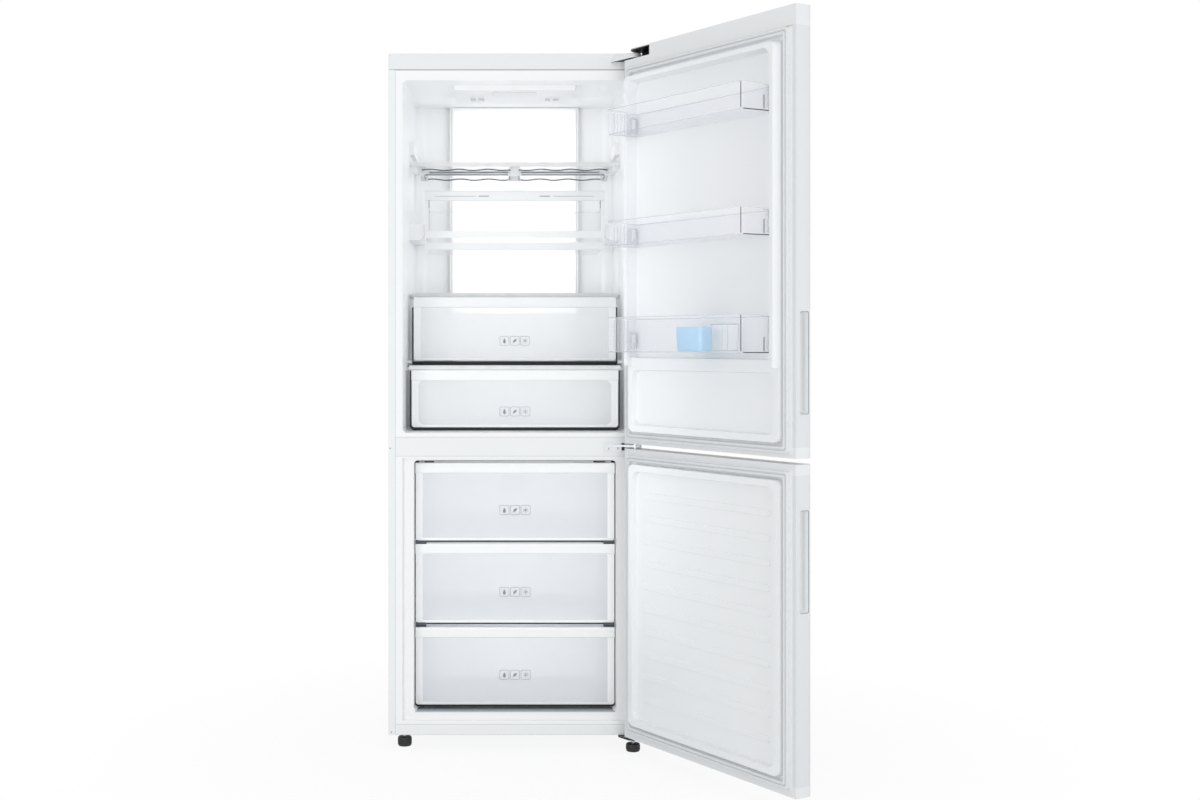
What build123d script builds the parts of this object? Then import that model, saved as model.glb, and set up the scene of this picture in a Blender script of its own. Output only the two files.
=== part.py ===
from build123d import *
import math
import os

# Bottom freezer refrigerator, a 700 mm wide free-standing cabinet with two right-hinged doors.
#
# Everything is modelled with the doors shut, in the cabinet's own frame: X to the right,
# Y from the cabinet's front plane into the cabinet and Z up from the floor, in millimetres.
# Each piece is then moved to its place: the doors are swung open about their hinge line, and
# the origin goes to the middle of the floor area that the open refrigerator takes up.

os.makedirs("parts", exist_ok=True)

# ------------------------------------------------------------------ driving dimensions
# Cabinet
CABINET_WIDTH = 695.0
CABINET_DEPTH = 612.0
CABINET_BOTTOM = 38.0
CABINET_TOP = 1908.0
SHELL_GAUGE = 0.8
SHELL_CORNER = 3.0
FRONT_FLANGE = 19.0
LINER_GAUGE = 2.0
TOP_COVER_HEIGHT = 44.0
TOP_COVER_DEPTH = 92.0
TOP_COVER_WALL = 2.5
TOP_COVER_GAP = 3.0
TOP_STEP = 4.0
BASE_GAUGE = 1.5
RAIL_GAUGE = 1.2
PLUG_RADIUS = 4.0
PLUG_INSETS = (59.9, 95.5)
BACK_RIBS = (200.0, 800.0, 1400.0)

# Refrigerator compartment
FRIDGE_SIDE_WALL = 38.7
FRIDGE_HALF = CABINET_WIDTH / 2 - FRIDGE_SIDE_WALL
FRIDGE_FLOOR = 867.0
FRIDGE_ROOF_FOAM = 74.0
FRIDGE_CEILING = CABINET_TOP - FRIDGE_ROOF_FOAM
FRIDGE_BACK_FOAM = 92.0
FRIDGE_DEPTH = CABINET_DEPTH - FRIDGE_BACK_FOAM
MOUTH_CORNER = 13.0
BACK_CORNER = 36.0
SIDE_TAPER = 9.0
LEDGE_HEIGHT = 8.0
PANE = 4.0
SHELF_SIDE_GAP = 4.0
SHELF_FRONT = 235.0
SHELF_BACK_GAP = 10.0
UPPER_SHELF_TOP = 1635.0
MIDDLE_SHELF_TOP = 1257.0
LOWER_SHELF_TOP = 1049.0
LOWER_SHELF_FRONT = 110.0
SPARE_LEDGE_TOP = 1700.0
TRIM_HEIGHT = 11.0
TRIM_DEPTH = 14.0
DUCT_HALF = 192.0
DUCT_DEPTH = 25.0
DUCT_TOP = FRIDGE_CEILING - 6
OUTLET_LEVELS = (1130.0, 1310.0, 1745.0)
VENT_SIZE = 78.0
VENT_HEIGHT = 1547.0
LAMP_HALF = 173.0
LAMP_FRONT = 78.0
LAMP_LENGTH = 262.0
LAMP_DROP = 14.0
LAMP_VENTS = (-120.0, -96.0, 96.0, 120.0)
LAMP_VENT_SPAN = (120.0, 200.0)

# Wine rack under the upper shelf
WIRE = 4.0
WIRE_SIDES = 8
RACK_SIDE_GAP = 40.8
RACK_HALF_SPAN = FRIDGE_HALF - RACK_SIDE_GAP
RACK_INNER = 14.0
RACK_FRONT = 246.0
RACK_BACK_GAP = 49.0
RACK_LENGTH = FRIDGE_DEPTH - DUCT_DEPTH - RACK_BACK_GAP - RACK_FRONT
RACK_DROP = 24.0
BOTTLES_PER_PANEL = 3
CRADLE_RISE = 7.0

# Freezer compartment
FREEZER_SIDE_WALL = 68.5
FREEZER_HALF = CABINET_WIDTH / 2 - FREEZER_SIDE_WALL
FREEZER_FLOOR = 103.0
FREEZER_CEILING = 791.0
FREEZER_BACK_FOAM = 72.0
FREEZER_DEPTH = CABINET_DEPTH - FREEZER_BACK_FOAM
FREEZER_MOUTH = (78.0, 797.0)
MOUTH_RECESS = 10.0
MULLION_BOTTOM = 803.0
MULLION_TOP = 855.0
BOTTOM_RAIL_TOP = 68.0
MACHINE_DEPTH = 205.0
MACHINE_HEIGHT = 262.0
STEP_WALL = 22.0
STEP_CHAMFER = 18.0
EVAPORATOR_SPACE = 70.0
EVAPORATOR_COVER_FRONT = FREEZER_DEPTH - EVAPORATOR_SPACE
EVAPORATOR_COVER_GAUGE = 12.0

# Drawers: half width of the front, bottom, top, front face behind the cabinet's front
DRAWER_WALL = 2.5
DRAWER_SIDE_STEP = 12.0
HANDLE_BAND = 30.0
SLIDE_GAP = 0.3
DRAWER_BACK_GAP = 12.0
CHILL_HALF, CHILL_BOTTOM, CHILL_TOP, CHILL_FRONT = FRIDGE_HALF - 18.8, 877.0, 1038.0, 110.0
CRISPER_HALF, CRISPER_BOTTOM, CRISPER_TOP, CRISPER_FRONT = FRIDGE_HALF - 20.8, 1064.0, 1245.0, 180.0
DELI_HALF, DELI_BOTTOM, DELI_TOP, DELI_FRONT = FRIDGE_HALF - 48.8, 1383.0, 1555.0, 240.0
DELI_BARS = ((2.0, 19.0, 2.0), (35.0, 55.0, 0.8))
DELI_RUNNER_BOTTOM = 1411.0
DELI_RUNNER_TOP = 1458.0
FREEZER_DRAWER_SIDE_GAP = 3.5
FREEZER_DRAWER_HALF = FREEZER_HALF - FREEZER_DRAWER_SIDE_GAP
FREEZER_DRAWER_FRONT = 50.0
TOP_DRAWER = (566.0, 782.0)
MIDDLE_DRAWER = (338.0, 558.0)
LOWEST_DRAWER = (111.0, 326.0)

# Doors
DOOR_THICKNESS = 52.0
DOOR_GAP = 12.0
DOOR_CORNER = 14.0
DOOR_SHOWN_OPEN = 121.0
HINGE_INSET = 21.0
HINGE_REACH = 32.0
UPPER_DOOR = (840.0, CABINET_TOP + 4.0)
LOWER_DOOR = (40.0, 826.0)
CAP_HEIGHT = 49.0
LOW_CAP_HEIGHT = 26.0
CAP_WALL = 3.0
DOOR_RETURN = 12.0
DOOR_FIELD_INSET = 36.0
DOOR_FIELD_HALF = CABINET_WIDTH / 2 - DOOR_FIELD_INSET
UPPER_FIELD = (869.0, FRIDGE_CEILING + 8.0)
LOWER_FIELD = (76.0, 792.0)
GASKET_WIDTH = 18.0
GASKET_CLEAR = 0.3
GRIP_LENGTH = 250.0
GRIP_WIDTH = 35.0
GRIP_DEPTH = 26.0
GRIP_WALL = 2.0
UPPER_GRIP_MIDDLE = 1066.0
LOWER_GRIP_MIDDLE = 596.0
DYKE_WIDTH = 18.0
DYKE_HEIGHT = 34.0
LOW_DYKE_HEIGHT = 18.0
DYKE_STEP_LEVEL = 1053.0
DYKE_TOP = FRIDGE_CEILING - 1.0
DYKE_DRAFT = 9.0

# Door bins
BIN_SIDE_GAP = 33.5
BIN_HALF = DOOR_FIELD_HALF - BIN_SIDE_GAP
BIN_REACH = 103.0
BIN_WALL = 2.2
BIN_CORNER = 12.0
BIN_LIP = 1.5
BIN_LIP_START = 58.0
TOP_BIN = (1665.0, 1732.0)
MIDDLE_BIN = (1369.0, 1436.0)
BOTTOM_BIN = (1089.0, 1182.0)
BOSS_HEIGHT = 26.0
BOSS_WIDTH = 13.0
HOOK_RIB = 3.5

# Hinges and feet
PIN_RADIUS = 5.0
PIN_CLEARANCE = 0.05
HINGE_PLATE = 4.0
HINGE_PLATE_LEVEL = CABINET_TOP - 18.0
MIDDLE_ARM_LEVEL = 830.5
MIDDLE_ARM_GAUGE = 5.0
PIN_ENGAGEMENT = 22.0
FOOT_RADIUS = 19.5
STEM_RADIUS = 5.0
LEFT_FOOT = (42.5 - CABINET_WIDTH / 2, 41.0, 26.0)
RIGHT_FOOT = (CABINET_WIDTH / 2 - 25.9, -20.0, 22.0)
ROLLER_RADIUS = 17.0
ROLLER_WIDTH = 16.0
ROLLER_X = CABINET_WIDTH / 2 - 62.5
ROLLER_Y = CABINET_DEPTH - 52

# ------------------------------------------------------------------ shared places
half_width = CABINET_WIDTH / 2
flange_edge = half_width - FRONT_FLANGE
cover_bottom = CABINET_TOP - TOP_COVER_HEIGHT
pivot = (half_width - HINGE_INSET, -HINGE_REACH)
door_back = -DOOR_GAP
door_face = door_back - DOOR_THICKNESS
foam_bottom = CABINET_BOTTOM + BASE_GAUGE
machine_front = CABINET_DEPTH - MACHINE_DEPTH
machine_top = CABINET_BOTTOM + MACHINE_HEIGHT
duct_face = FRIDGE_DEPTH - DUCT_DEPTH
CHILL_LENGTH = duct_face - DRAWER_BACK_GAP - CHILL_FRONT
CRISPER_LENGTH = duct_face - DRAWER_BACK_GAP - CRISPER_FRONT
DELI_LENGTH = duct_face - DRAWER_BACK_GAP - DELI_FRONT
FREEZER_DRAWER_LENGTH = EVAPORATOR_COVER_FRONT - DRAWER_BACK_GAP - FREEZER_DRAWER_FRONT
LOWEST_DRAWER_LENGTH = machine_front - STEP_WALL - DRAWER_BACK_GAP - FREEZER_DRAWER_FRONT

door_swing = math.radians(DOOR_SHOWN_OPEN)
door_length = CABINET_WIDTH - HINGE_INSET
open_reach = (
    pivot[0]
    - door_length * math.cos(door_swing)
    + (DOOR_THICKNESS + DOOR_GAP - HINGE_REACH) * math.sin(door_swing)
)
footprint_middle = (open_reach - half_width) / 2

CABINET = Location((-footprint_middle, 0, 0))
TO_PIVOT = Location((pivot[0], pivot[1], 0))
OPEN_DOOR = CABINET * TO_PIVOT * Location((0, 0, 0), (0, 0, DOOR_SHOWN_OPEN)) * TO_PIVOT.inverse()


# ------------------------------------------------------------------ small helpers
def level(height):
    """A horizontal plane; its local x and y are X and Y."""
    return Plane.XY.offset(height)


def facing(depth):
    """An upright plane that faces the viewer; its local x and y are X and Z."""
    return Plane.XZ.offset(-depth)


def across(x):
    """An upright plane seen from the right; its local x and y are Y and Z."""
    return Plane.YZ.offset(x)


def block(xs, ys, zs, mode=Mode.ADD):
    """A rectangular block between the given ends, in the part being built."""
    with Locations((sum(xs) / 2, sum(ys) / 2, sum(zs) / 2)):
        Box(xs[1] - xs[0], ys[1] - ys[0], zs[1] - zs[0], mode=mode)


def mirrored(xs):
    """The same span of X on the cabinet's left and right sides."""
    return ((-xs[1], -xs[0]), xs)


def rod(x, y, zs, radius, mode=Mode.ADD):
    """An upright round rod or hole between two heights."""
    with Locations((x, y, sum(zs) / 2)):
        Cylinder(radius, zs[1] - zs[0], mode=mode)


def save(piece, name, place=CABINET):
    """Labels a finished piece, moves it to its place and writes its STEP file."""
    placed = piece.part.moved(place)
    placed.label = name
    export_step(placed, f"parts/{name}.step")


def cavity(half, floor, ceiling, depth, back_corner, grow=0.0):
    """A compartment's hollow, open at the front; grow makes it larger all round."""
    height = ceiling - floor + 2 * grow
    with BuildPart() as hollow:
        with BuildSketch(facing(0)):
            with Locations((0, (floor + ceiling) / 2)):
                RectangleRounded(2 * (half + grow), height, MOUTH_CORNER + grow)
        extrude(amount=-(depth + grow))
        with BuildSketch(level(floor - grow)) as plan:
            with BuildLine():
                Polyline(
                    (-half - grow, 0),
                    (half + grow, 0),
                    (half + grow - SIDE_TAPER, depth + grow),
                    (-half - grow + SIDE_TAPER, depth + grow),
                    close=True,
                )
            make_face()
            fillet(plan.vertices().group_by(Axis.Y)[-1], back_corner)
        extrude(amount=height, mode=Mode.INTERSECT)
    return hollow.part


def side_wall(half, depth_in, total_depth):
    """Half width of a tapered compartment at some depth behind its mouth."""
    return half - SIDE_TAPER * depth_in / total_depth


# ------------------------------------------------------------------ cabinet body
shelf_back = duct_face - SHELF_BACK_GAP
shelf_half = side_wall(FRIDGE_HALF, shelf_back, FRIDGE_DEPTH) - SHELF_SIDE_GAP
freezer_pane_tops = (TOP_DRAWER[0] - SLIDE_GAP, MIDDLE_DRAWER[0] - SLIDE_GAP)
freezer_ledge_inner = FREEZER_DRAWER_HALF - DRAWER_SIDE_STEP + 2.0
freezer_shelf_back = EVAPORATOR_COVER_FRONT - 15.0
freezer_shelf_half = side_wall(FREEZER_HALF, freezer_shelf_back, FREEZER_DEPTH) - 1.0
deli_runner_inner = DELI_HALF + 2.0

with BuildPart() as fridge_hollow:
    add(cavity(FRIDGE_HALF, FRIDGE_FLOOR, FRIDGE_CEILING, FRIDGE_DEPTH, BACK_CORNER))
    for pane_top, front in (
        (UPPER_SHELF_TOP, SHELF_FRONT),
        (MIDDLE_SHELF_TOP, SHELF_FRONT),
        (LOWER_SHELF_TOP, LOWER_SHELF_FRONT),
    ):
        ledge_top = pane_top - PANE
        for side in mirrored((shelf_half - 7, FRIDGE_HALF + 1)):
            block(
                side,
                (front + TRIM_DEPTH + 6, shelf_back - TRIM_DEPTH - 1),
                (ledge_top - LEDGE_HEIGHT, ledge_top),
                Mode.SUBTRACT,
            )
    for side in mirrored((shelf_half - 5, FRIDGE_HALF + 1)):
        block(
            side,
            (SHELF_FRONT + 20, shelf_back),
            (SPARE_LEDGE_TOP - 5 * LEDGE_HEIGHT, SPARE_LEDGE_TOP),
            Mode.SUBTRACT,
        )
    for side in mirrored((CRISPER_HALF - DRAWER_SIDE_STEP, FRIDGE_HALF + 1)):
        block(
            side,
            (CRISPER_FRONT + 8, shelf_back),
            (CRISPER_BOTTOM - SLIDE_GAP - LEDGE_HEIGHT, CRISPER_BOTTOM - SLIDE_GAP),
            Mode.SUBTRACT,
        )
    for side in mirrored((CHILL_HALF - 50, CHILL_HALF - 30)):
        block(
            side,
            (CHILL_FRONT + 8, shelf_back),
            (FRIDGE_FLOOR - 1, CHILL_BOTTOM - SLIDE_GAP),
            Mode.SUBTRACT,
        )

    for side in (-1, 1):
        with BuildSketch(facing(DELI_FRONT + 5)):
            with BuildLine():
                Polyline(
                    (side * deli_runner_inner, DELI_RUNNER_TOP),
                    (side * (FRIDGE_HALF + 1), DELI_RUNNER_TOP),
                    (side * (FRIDGE_HALF + 1), DELI_RUNNER_BOTTOM),
                    (side * (deli_runner_inner + 14), DELI_RUNNER_BOTTOM),
                    (side * deli_runner_inner, DELI_RUNNER_BOTTOM + 14),
                    close=True,
                )
            make_face()
        extrude(amount=-(shelf_back - DELI_FRONT - 5), mode=Mode.SUBTRACT)

with BuildPart() as fridge_liner:
    block((-flange_edge, flange_edge), (0, LINER_GAUGE), (MULLION_TOP, cover_bottom - TOP_COVER_GAP))
    add(cavity(FRIDGE_HALF, FRIDGE_FLOOR, FRIDGE_CEILING, FRIDGE_DEPTH, BACK_CORNER, LINER_GAUGE))
    add(fridge_hollow.part, mode=Mode.SUBTRACT)
save(fridge_liner, "fridge_liner")


freezer_step_top = machine_top + STEP_WALL


def freezer_cavity(grow=0.0):
    """The freezer's hollow, with a shallow recess for the door's rim and a step in its back."""
    back = FREEZER_DEPTH + grow
    step = machine_front - STEP_WALL + grow
    step_top = freezer_step_top - grow
    with BuildPart() as hollow:
        add(cavity(FREEZER_HALF, FREEZER_FLOOR, FREEZER_CEILING, FREEZER_DEPTH, BACK_CORNER, grow))
        with BuildSketch(across(-half_width)):
            with BuildLine():
                Polyline(
                    (step, FREEZER_FLOOR - 2 * LINER_GAUGE),
                    (step, step_top - STEP_CHAMFER),
                    (step + STEP_CHAMFER, step_top),
                    (back + 1, step_top),
                    (back + 1, FREEZER_FLOOR - 2 * LINER_GAUGE),
                    close=True,
                )
            make_face()
        extrude(amount=CABINET_WIDTH, mode=Mode.SUBTRACT)
        block(
            (-FRIDGE_HALF - grow, FRIDGE_HALF + grow),
            (0, MOUTH_RECESS + grow),
            (FREEZER_MOUTH[0] - grow, FREEZER_MOUTH[1] + grow),
        )
    return hollow.part


with BuildPart() as freezer_hollow:
    add(freezer_cavity())
    for pane_top in freezer_pane_tops:
        ledge_top = pane_top - PANE
        for side in mirrored((freezer_ledge_inner, FREEZER_HALF + 1)):
            block(
                side,
                (FREEZER_DRAWER_FRONT + 45, freezer_shelf_back),
                (ledge_top - 5, ledge_top),
                Mode.SUBTRACT,
            )
    for side in mirrored((FREEZER_DRAWER_HALF - 70, FREEZER_DRAWER_HALF - 55)):
        block(
            side,
            (FREEZER_DRAWER_FRONT + 10, machine_front - STEP_WALL - 15),
            (FREEZER_FLOOR - 1, LOWEST_DRAWER[0] - SLIDE_GAP),
            Mode.SUBTRACT,
        )

with BuildPart() as freezer_liner:
    block((-flange_edge, flange_edge), (0, LINER_GAUGE), (BOTTOM_RAIL_TOP, MULLION_BOTTOM))
    add(freezer_cavity(LINER_GAUGE))
    add(freezer_hollow.part, mode=Mode.SUBTRACT)
save(freezer_liner, "freezer_liner")


def cabinet_plan(inset):
    """The cabinet's plan with its two round front corners, made smaller all round by inset."""
    with BuildSketch() as plan:
        with Locations((0, inset + CABINET_DEPTH / 2)):
            Rectangle(CABINET_WIDTH - 2 * inset, CABINET_DEPTH)
        fillet(plan.vertices().group_by(Axis.Y)[0], SHELL_CORNER - inset)
    return plan.sketch


with BuildPart() as outer_shell:
    with BuildSketch(level(CABINET_BOTTOM)):
        add(cabinet_plan(0))
        add(cabinet_plan(SHELL_GAUGE), mode=Mode.SUBTRACT)
        Rectangle(2 * flange_edge, 20, mode=Mode.SUBTRACT)
    extrude(amount=CABINET_TOP - TOP_STEP - CABINET_BOTTOM)
    block(
        (-half_width, half_width),
        (TOP_COVER_DEPTH, CABINET_DEPTH),
        (CABINET_TOP - TOP_STEP - SHELL_GAUGE, CABINET_TOP - TOP_STEP),
    )
    block(
        (-half_width - 1, half_width + 1),
        (-1, TOP_COVER_DEPTH),
        (cover_bottom - TOP_COVER_GAP / 2, CABINET_TOP),
        Mode.SUBTRACT,
    )
save(outer_shell, "outer_shell")

with BuildPart() as top_cover:
    with BuildSketch(level(cover_bottom)) as plan:
        with Locations((0, TOP_COVER_DEPTH / 2)):
            Rectangle(CABINET_WIDTH, TOP_COVER_DEPTH)
        fillet(plan.vertices().group_by(Axis.Y)[0], SHELL_CORNER)
    extrude(amount=TOP_COVER_HEIGHT)
    fillet(top_cover.edges().group_by(Axis.Z)[-1].sort_by(Axis.Y)[0], 5)
    block(
        (-half_width + TOP_COVER_WALL, half_width - TOP_COVER_WALL),
        (TOP_COVER_WALL, TOP_COVER_DEPTH - TOP_COVER_WALL),
        (cover_bottom - 1, CABINET_TOP - TOP_COVER_WALL),
        Mode.SUBTRACT,
    )
    block(
        (pivot[0] - 66, pivot[0] + 20),
        (-1, TOP_COVER_WALL + 1),
        (HINGE_PLATE_LEVEL - 3, HINGE_PLATE_LEVEL + 17),
        Mode.SUBTRACT,
    )
save(top_cover, "top_cover")

with BuildPart() as front_crossrails:
    for low, high in ((MULLION_BOTTOM, MULLION_TOP), (CABINET_BOTTOM + BASE_GAUGE, BOTTOM_RAIL_TOP)):
        block((-flange_edge, flange_edge), (0, RAIL_GAUGE), (low, high))
        block((-flange_edge, flange_edge), (0, LINER_GAUGE), (high - RAIL_GAUGE, high))
        block((-flange_edge, flange_edge), (0, LINER_GAUGE), (low, low + RAIL_GAUGE))
    for plug_inset in PLUG_INSETS:
        with BuildSketch(facing(0)):
            with Locations((plug_inset - half_width, (MULLION_BOTTOM + MULLION_TOP) / 2)):
                Circle(PLUG_RADIUS)
        extrude(amount=0.8)
save(front_crossrails, "front_crossrails")

with BuildPart() as back_panel:
    block(
        (-half_width + SHELL_GAUGE, half_width - SHELL_GAUGE),
        (CABINET_DEPTH - SHELL_GAUGE, CABINET_DEPTH),
        (machine_top, CABINET_TOP - TOP_STEP - SHELL_GAUGE),
    )
    for rib in BACK_RIBS:
        block(
            (-half_width + 40, half_width - 40),
            (CABINET_DEPTH - SHELL_GAUGE, CABINET_DEPTH + 1.2),
            (machine_top + rib, machine_top + rib + 12),
        )
save(back_panel, "back_panel")

COIL_POCKET = 8.0
with BuildPart() as cabinet_foam:
    with BuildSketch(level(foam_bottom)):
        add(cabinet_plan(SHELL_GAUGE))
    extrude(amount=CABINET_TOP - TOP_STEP - SHELL_GAUGE - foam_bottom)
    block(
        (-half_width, half_width),
        (LINER_GAUGE, CABINET_DEPTH - SHELL_GAUGE),
        (foam_bottom, CABINET_TOP),
        Mode.INTERSECT,
    )
    block(
        (-half_width, half_width),
        (0, TOP_COVER_DEPTH),
        (cover_bottom - TOP_COVER_GAP, CABINET_TOP),
        Mode.SUBTRACT,
    )
    add(
        cavity(FRIDGE_HALF, FRIDGE_FLOOR, FRIDGE_CEILING, FRIDGE_DEPTH, BACK_CORNER, LINER_GAUGE),
        mode=Mode.SUBTRACT,
    )
    add(freezer_cavity(LINER_GAUGE), mode=Mode.SUBTRACT)
    block(
        (-half_width, half_width),
        (machine_front, CABINET_DEPTH),
        (foam_bottom - 1, machine_top),
        Mode.SUBTRACT,
    )
    block(
        (-half_width + 30, half_width - 30),
        (CABINET_DEPTH - SHELL_GAUGE - COIL_POCKET, CABINET_DEPTH),
        (machine_top + 20, CABINET_TOP - 40),
        Mode.SUBTRACT,
    )
    rod(
        LEFT_FOOT[0],
        LEFT_FOOT[1],
        (foam_bottom - 1, foam_bottom + 24),
        STEM_RADIUS + 4,
        Mode.SUBTRACT,
    )
save(cabinet_foam, "cabinet_foam")

ear_gap = ROLLER_WIDTH / 2 + 1.0
EAR = 3.0
AXLE_RADIUS = 3.0
with BuildPart() as base_plate:
    block(
        (-half_width + SHELL_GAUGE, half_width - SHELL_GAUGE),
        (SHELL_CORNER, CABINET_DEPTH - SHELL_GAUGE),
        (CABINET_BOTTOM, foam_bottom),
    )
    for roller_x in (-ROLLER_X, ROLLER_X):
        for ear_x in (roller_x - ear_gap - EAR / 2, roller_x + ear_gap + EAR / 2):
            with BuildSketch(across(ear_x - EAR / 2)):
                with BuildLine():
                    Polyline(
                        (ROLLER_Y + 22, CABINET_BOTTOM + 0.5),
                        (ROLLER_Y - 22, CABINET_BOTTOM + 0.5),
                        (ROLLER_Y - 9, ROLLER_RADIUS - 7),
                        (ROLLER_Y + 9, ROLLER_RADIUS - 7),
                        close=True,
                    )
                make_face()
            extrude(amount=EAR)
        with BuildSketch(across(roller_x - ear_gap - 2 * EAR)):
            with Locations((ROLLER_Y, ROLLER_RADIUS)):
                Circle(AXLE_RADIUS)
        extrude(amount=2 * ear_gap + 4 * EAR)
    rod(LEFT_FOOT[0], LEFT_FOOT[1], (CABINET_BOTTOM - 6, CABINET_BOTTOM), STEM_RADIUS + 4)
    rod(
        LEFT_FOOT[0],
        LEFT_FOOT[1],
        (CABINET_BOTTOM - 7, foam_bottom + 1),
        STEM_RADIUS + PIN_CLEARANCE,
        Mode.SUBTRACT,
    )
save(base_plate, "base_plate")

with BuildPart() as rear_rollers:
    for roller_x in (-ROLLER_X, ROLLER_X):
        with BuildSketch(across(roller_x - ROLLER_WIDTH / 2)):
            with Locations((ROLLER_Y, ROLLER_RADIUS)):
                Circle(ROLLER_RADIUS)
                Circle(AXLE_RADIUS + PIN_CLEARANCE, mode=Mode.SUBTRACT)
        extrude(amount=ROLLER_WIDTH)
save(rear_rollers, "rear_rollers")


def foot(x, y, pad_height, stem_top):
    """A levelling foot: a tapered pad with a grooved rim under a threaded stem."""
    with BuildPart() as piece:
        with BuildSketch(Plane(origin=(x, y, 0), x_dir=(1, 0, 0), z_dir=(0, -1, 0))):
            with BuildLine():
                Polyline(
                    (0, 0),
                    (FOOT_RADIUS - 1.5, 0),
                    (FOOT_RADIUS, 1.5),
                    (FOOT_RADIUS, 5),
                    (FOOT_RADIUS - 2, 6.5),
                    (FOOT_RADIUS - 4.5, pad_height - 7),
                    (FOOT_RADIUS - 3, pad_height - 5.5),
                    (FOOT_RADIUS - 3, pad_height - 1),
                    (FOOT_RADIUS - 4, pad_height),
                    (STEM_RADIUS, pad_height),
                    (STEM_RADIUS, stem_top - 1),
                    (STEM_RADIUS - 1, stem_top),
                    (0, stem_top),
                    close=True,
                )
            make_face()
        revolve(axis=Axis((x, y, 0), (0, 0, 1)))
    return piece


save(foot(*LEFT_FOOT, foam_bottom + 20), "left_foot")
save(foot(*RIGHT_FOOT, CABINET_BOTTOM), "right_foot")

# ------------------------------------------------------------------ refrigerator interior
with BuildPart() as air_duct_panel:
    with BuildSketch(level(CHILL_BOTTOM)) as plan:
        with Locations((0, FRIDGE_DEPTH - DUCT_DEPTH / 2)):
            Rectangle(2 * DUCT_HALF, DUCT_DEPTH)
        fillet(plan.vertices().group_by(Axis.Y)[0], 8)
    extrude(amount=DUCT_TOP - CHILL_BOTTOM)
    with BuildSketch(facing(duct_face)):
        with Locations((0, VENT_HEIGHT)):
            RectangleRounded(VENT_SIZE - 14, VENT_SIZE - 14, 10)
    extrude(amount=-6, mode=Mode.SUBTRACT)
    for outlet_height in OUTLET_LEVELS:
        for outlet_x in (-DUCT_HALF + 8, DUCT_HALF - 8):
            block(
                (outlet_x - 10, outlet_x + 10),
                (duct_face + 11, duct_face + 17),
                (outlet_height - 30, outlet_height + 30),
                Mode.SUBTRACT,
            )
save(air_duct_panel, "air_duct_panel")

with BuildPart() as air_duct_vent:
    with BuildSketch(facing(duct_face)):
        with Locations((0, VENT_HEIGHT)):
            RectangleRounded(VENT_SIZE, VENT_SIZE, 14)
    extrude(amount=5)
    chamfer(air_duct_vent.faces().sort_by(Axis.Y)[0].outer_wire().edges(), 2.2)
    with BuildSketch(facing(duct_face - 6)):
        with Locations((0, VENT_HEIGHT)):
            with GridLocations(0, 9, 1, 6):
                SlotOverall(50, 4.5)
    extrude(amount=-8, mode=Mode.SUBTRACT)
save(air_duct_vent, "air_duct_vent")

LENS_HALF = 62.0
LENS_LENGTH = 70.0
lens_front = LAMP_FRONT + 40
with BuildPart() as lamp_housing:
    with BuildSketch(level(FRIDGE_CEILING)) as plan:
        with Locations((0, LAMP_FRONT + LAMP_LENGTH / 2)):
            RectangleRounded(2 * LAMP_HALF, LAMP_LENGTH, 10)
    extrude(amount=-LAMP_DROP, taper=14)
    with BuildSketch(level(FRIDGE_CEILING - LAMP_DROP)):
        with Locations((0, lens_front + LENS_LENGTH / 2)):
            RectangleRounded(2 * LENS_HALF, LENS_LENGTH, 8)
    extrude(amount=5, mode=Mode.SUBTRACT)
    for vent_x in LAMP_VENTS:
        block(
            (vent_x - 8, vent_x + 8),
            (LAMP_FRONT + LAMP_VENT_SPAN[0], LAMP_FRONT + LAMP_VENT_SPAN[1]),
            (FRIDGE_CEILING - LAMP_DROP - 1, FRIDGE_CEILING - LAMP_DROP + 5),
            Mode.SUBTRACT,
        )
save(lamp_housing, "lamp_housing")

with BuildPart() as lamp_lens:
    with BuildSketch(level(FRIDGE_CEILING - LAMP_DROP - 2)):
        with Locations((0, lens_front + LENS_LENGTH / 2)):
            RectangleRounded(2 * LENS_HALF - 1, LENS_LENGTH - 1, 7.5)
    extrude(amount=7)
save(lamp_lens, "lamp_lens")


def shelf_pane(top, front, back, half, gauge=PANE):
    """A toughened glass pane with ground corners."""
    with BuildPart() as pane:
        with BuildSketch(level(top - gauge)):
            with Locations((0, (front + back) / 2)):
                RectangleRounded(2 * half, back - front, 6)
        extrude(amount=gauge)
    return pane


fridge_shelves = (
    ("upper_shelf", UPPER_SHELF_TOP, SHELF_FRONT),
    ("middle_shelf", MIDDLE_SHELF_TOP, SHELF_FRONT),
    ("lower_shelf", LOWER_SHELF_TOP, LOWER_SHELF_FRONT),
)
for shelf_name, shelf_top, shelf_front in fridge_shelves:
    save(
        shelf_pane(shelf_top, shelf_front + TRIM_DEPTH / 2, shelf_back - TRIM_DEPTH / 2, shelf_half),
        shelf_name,
    )

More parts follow.
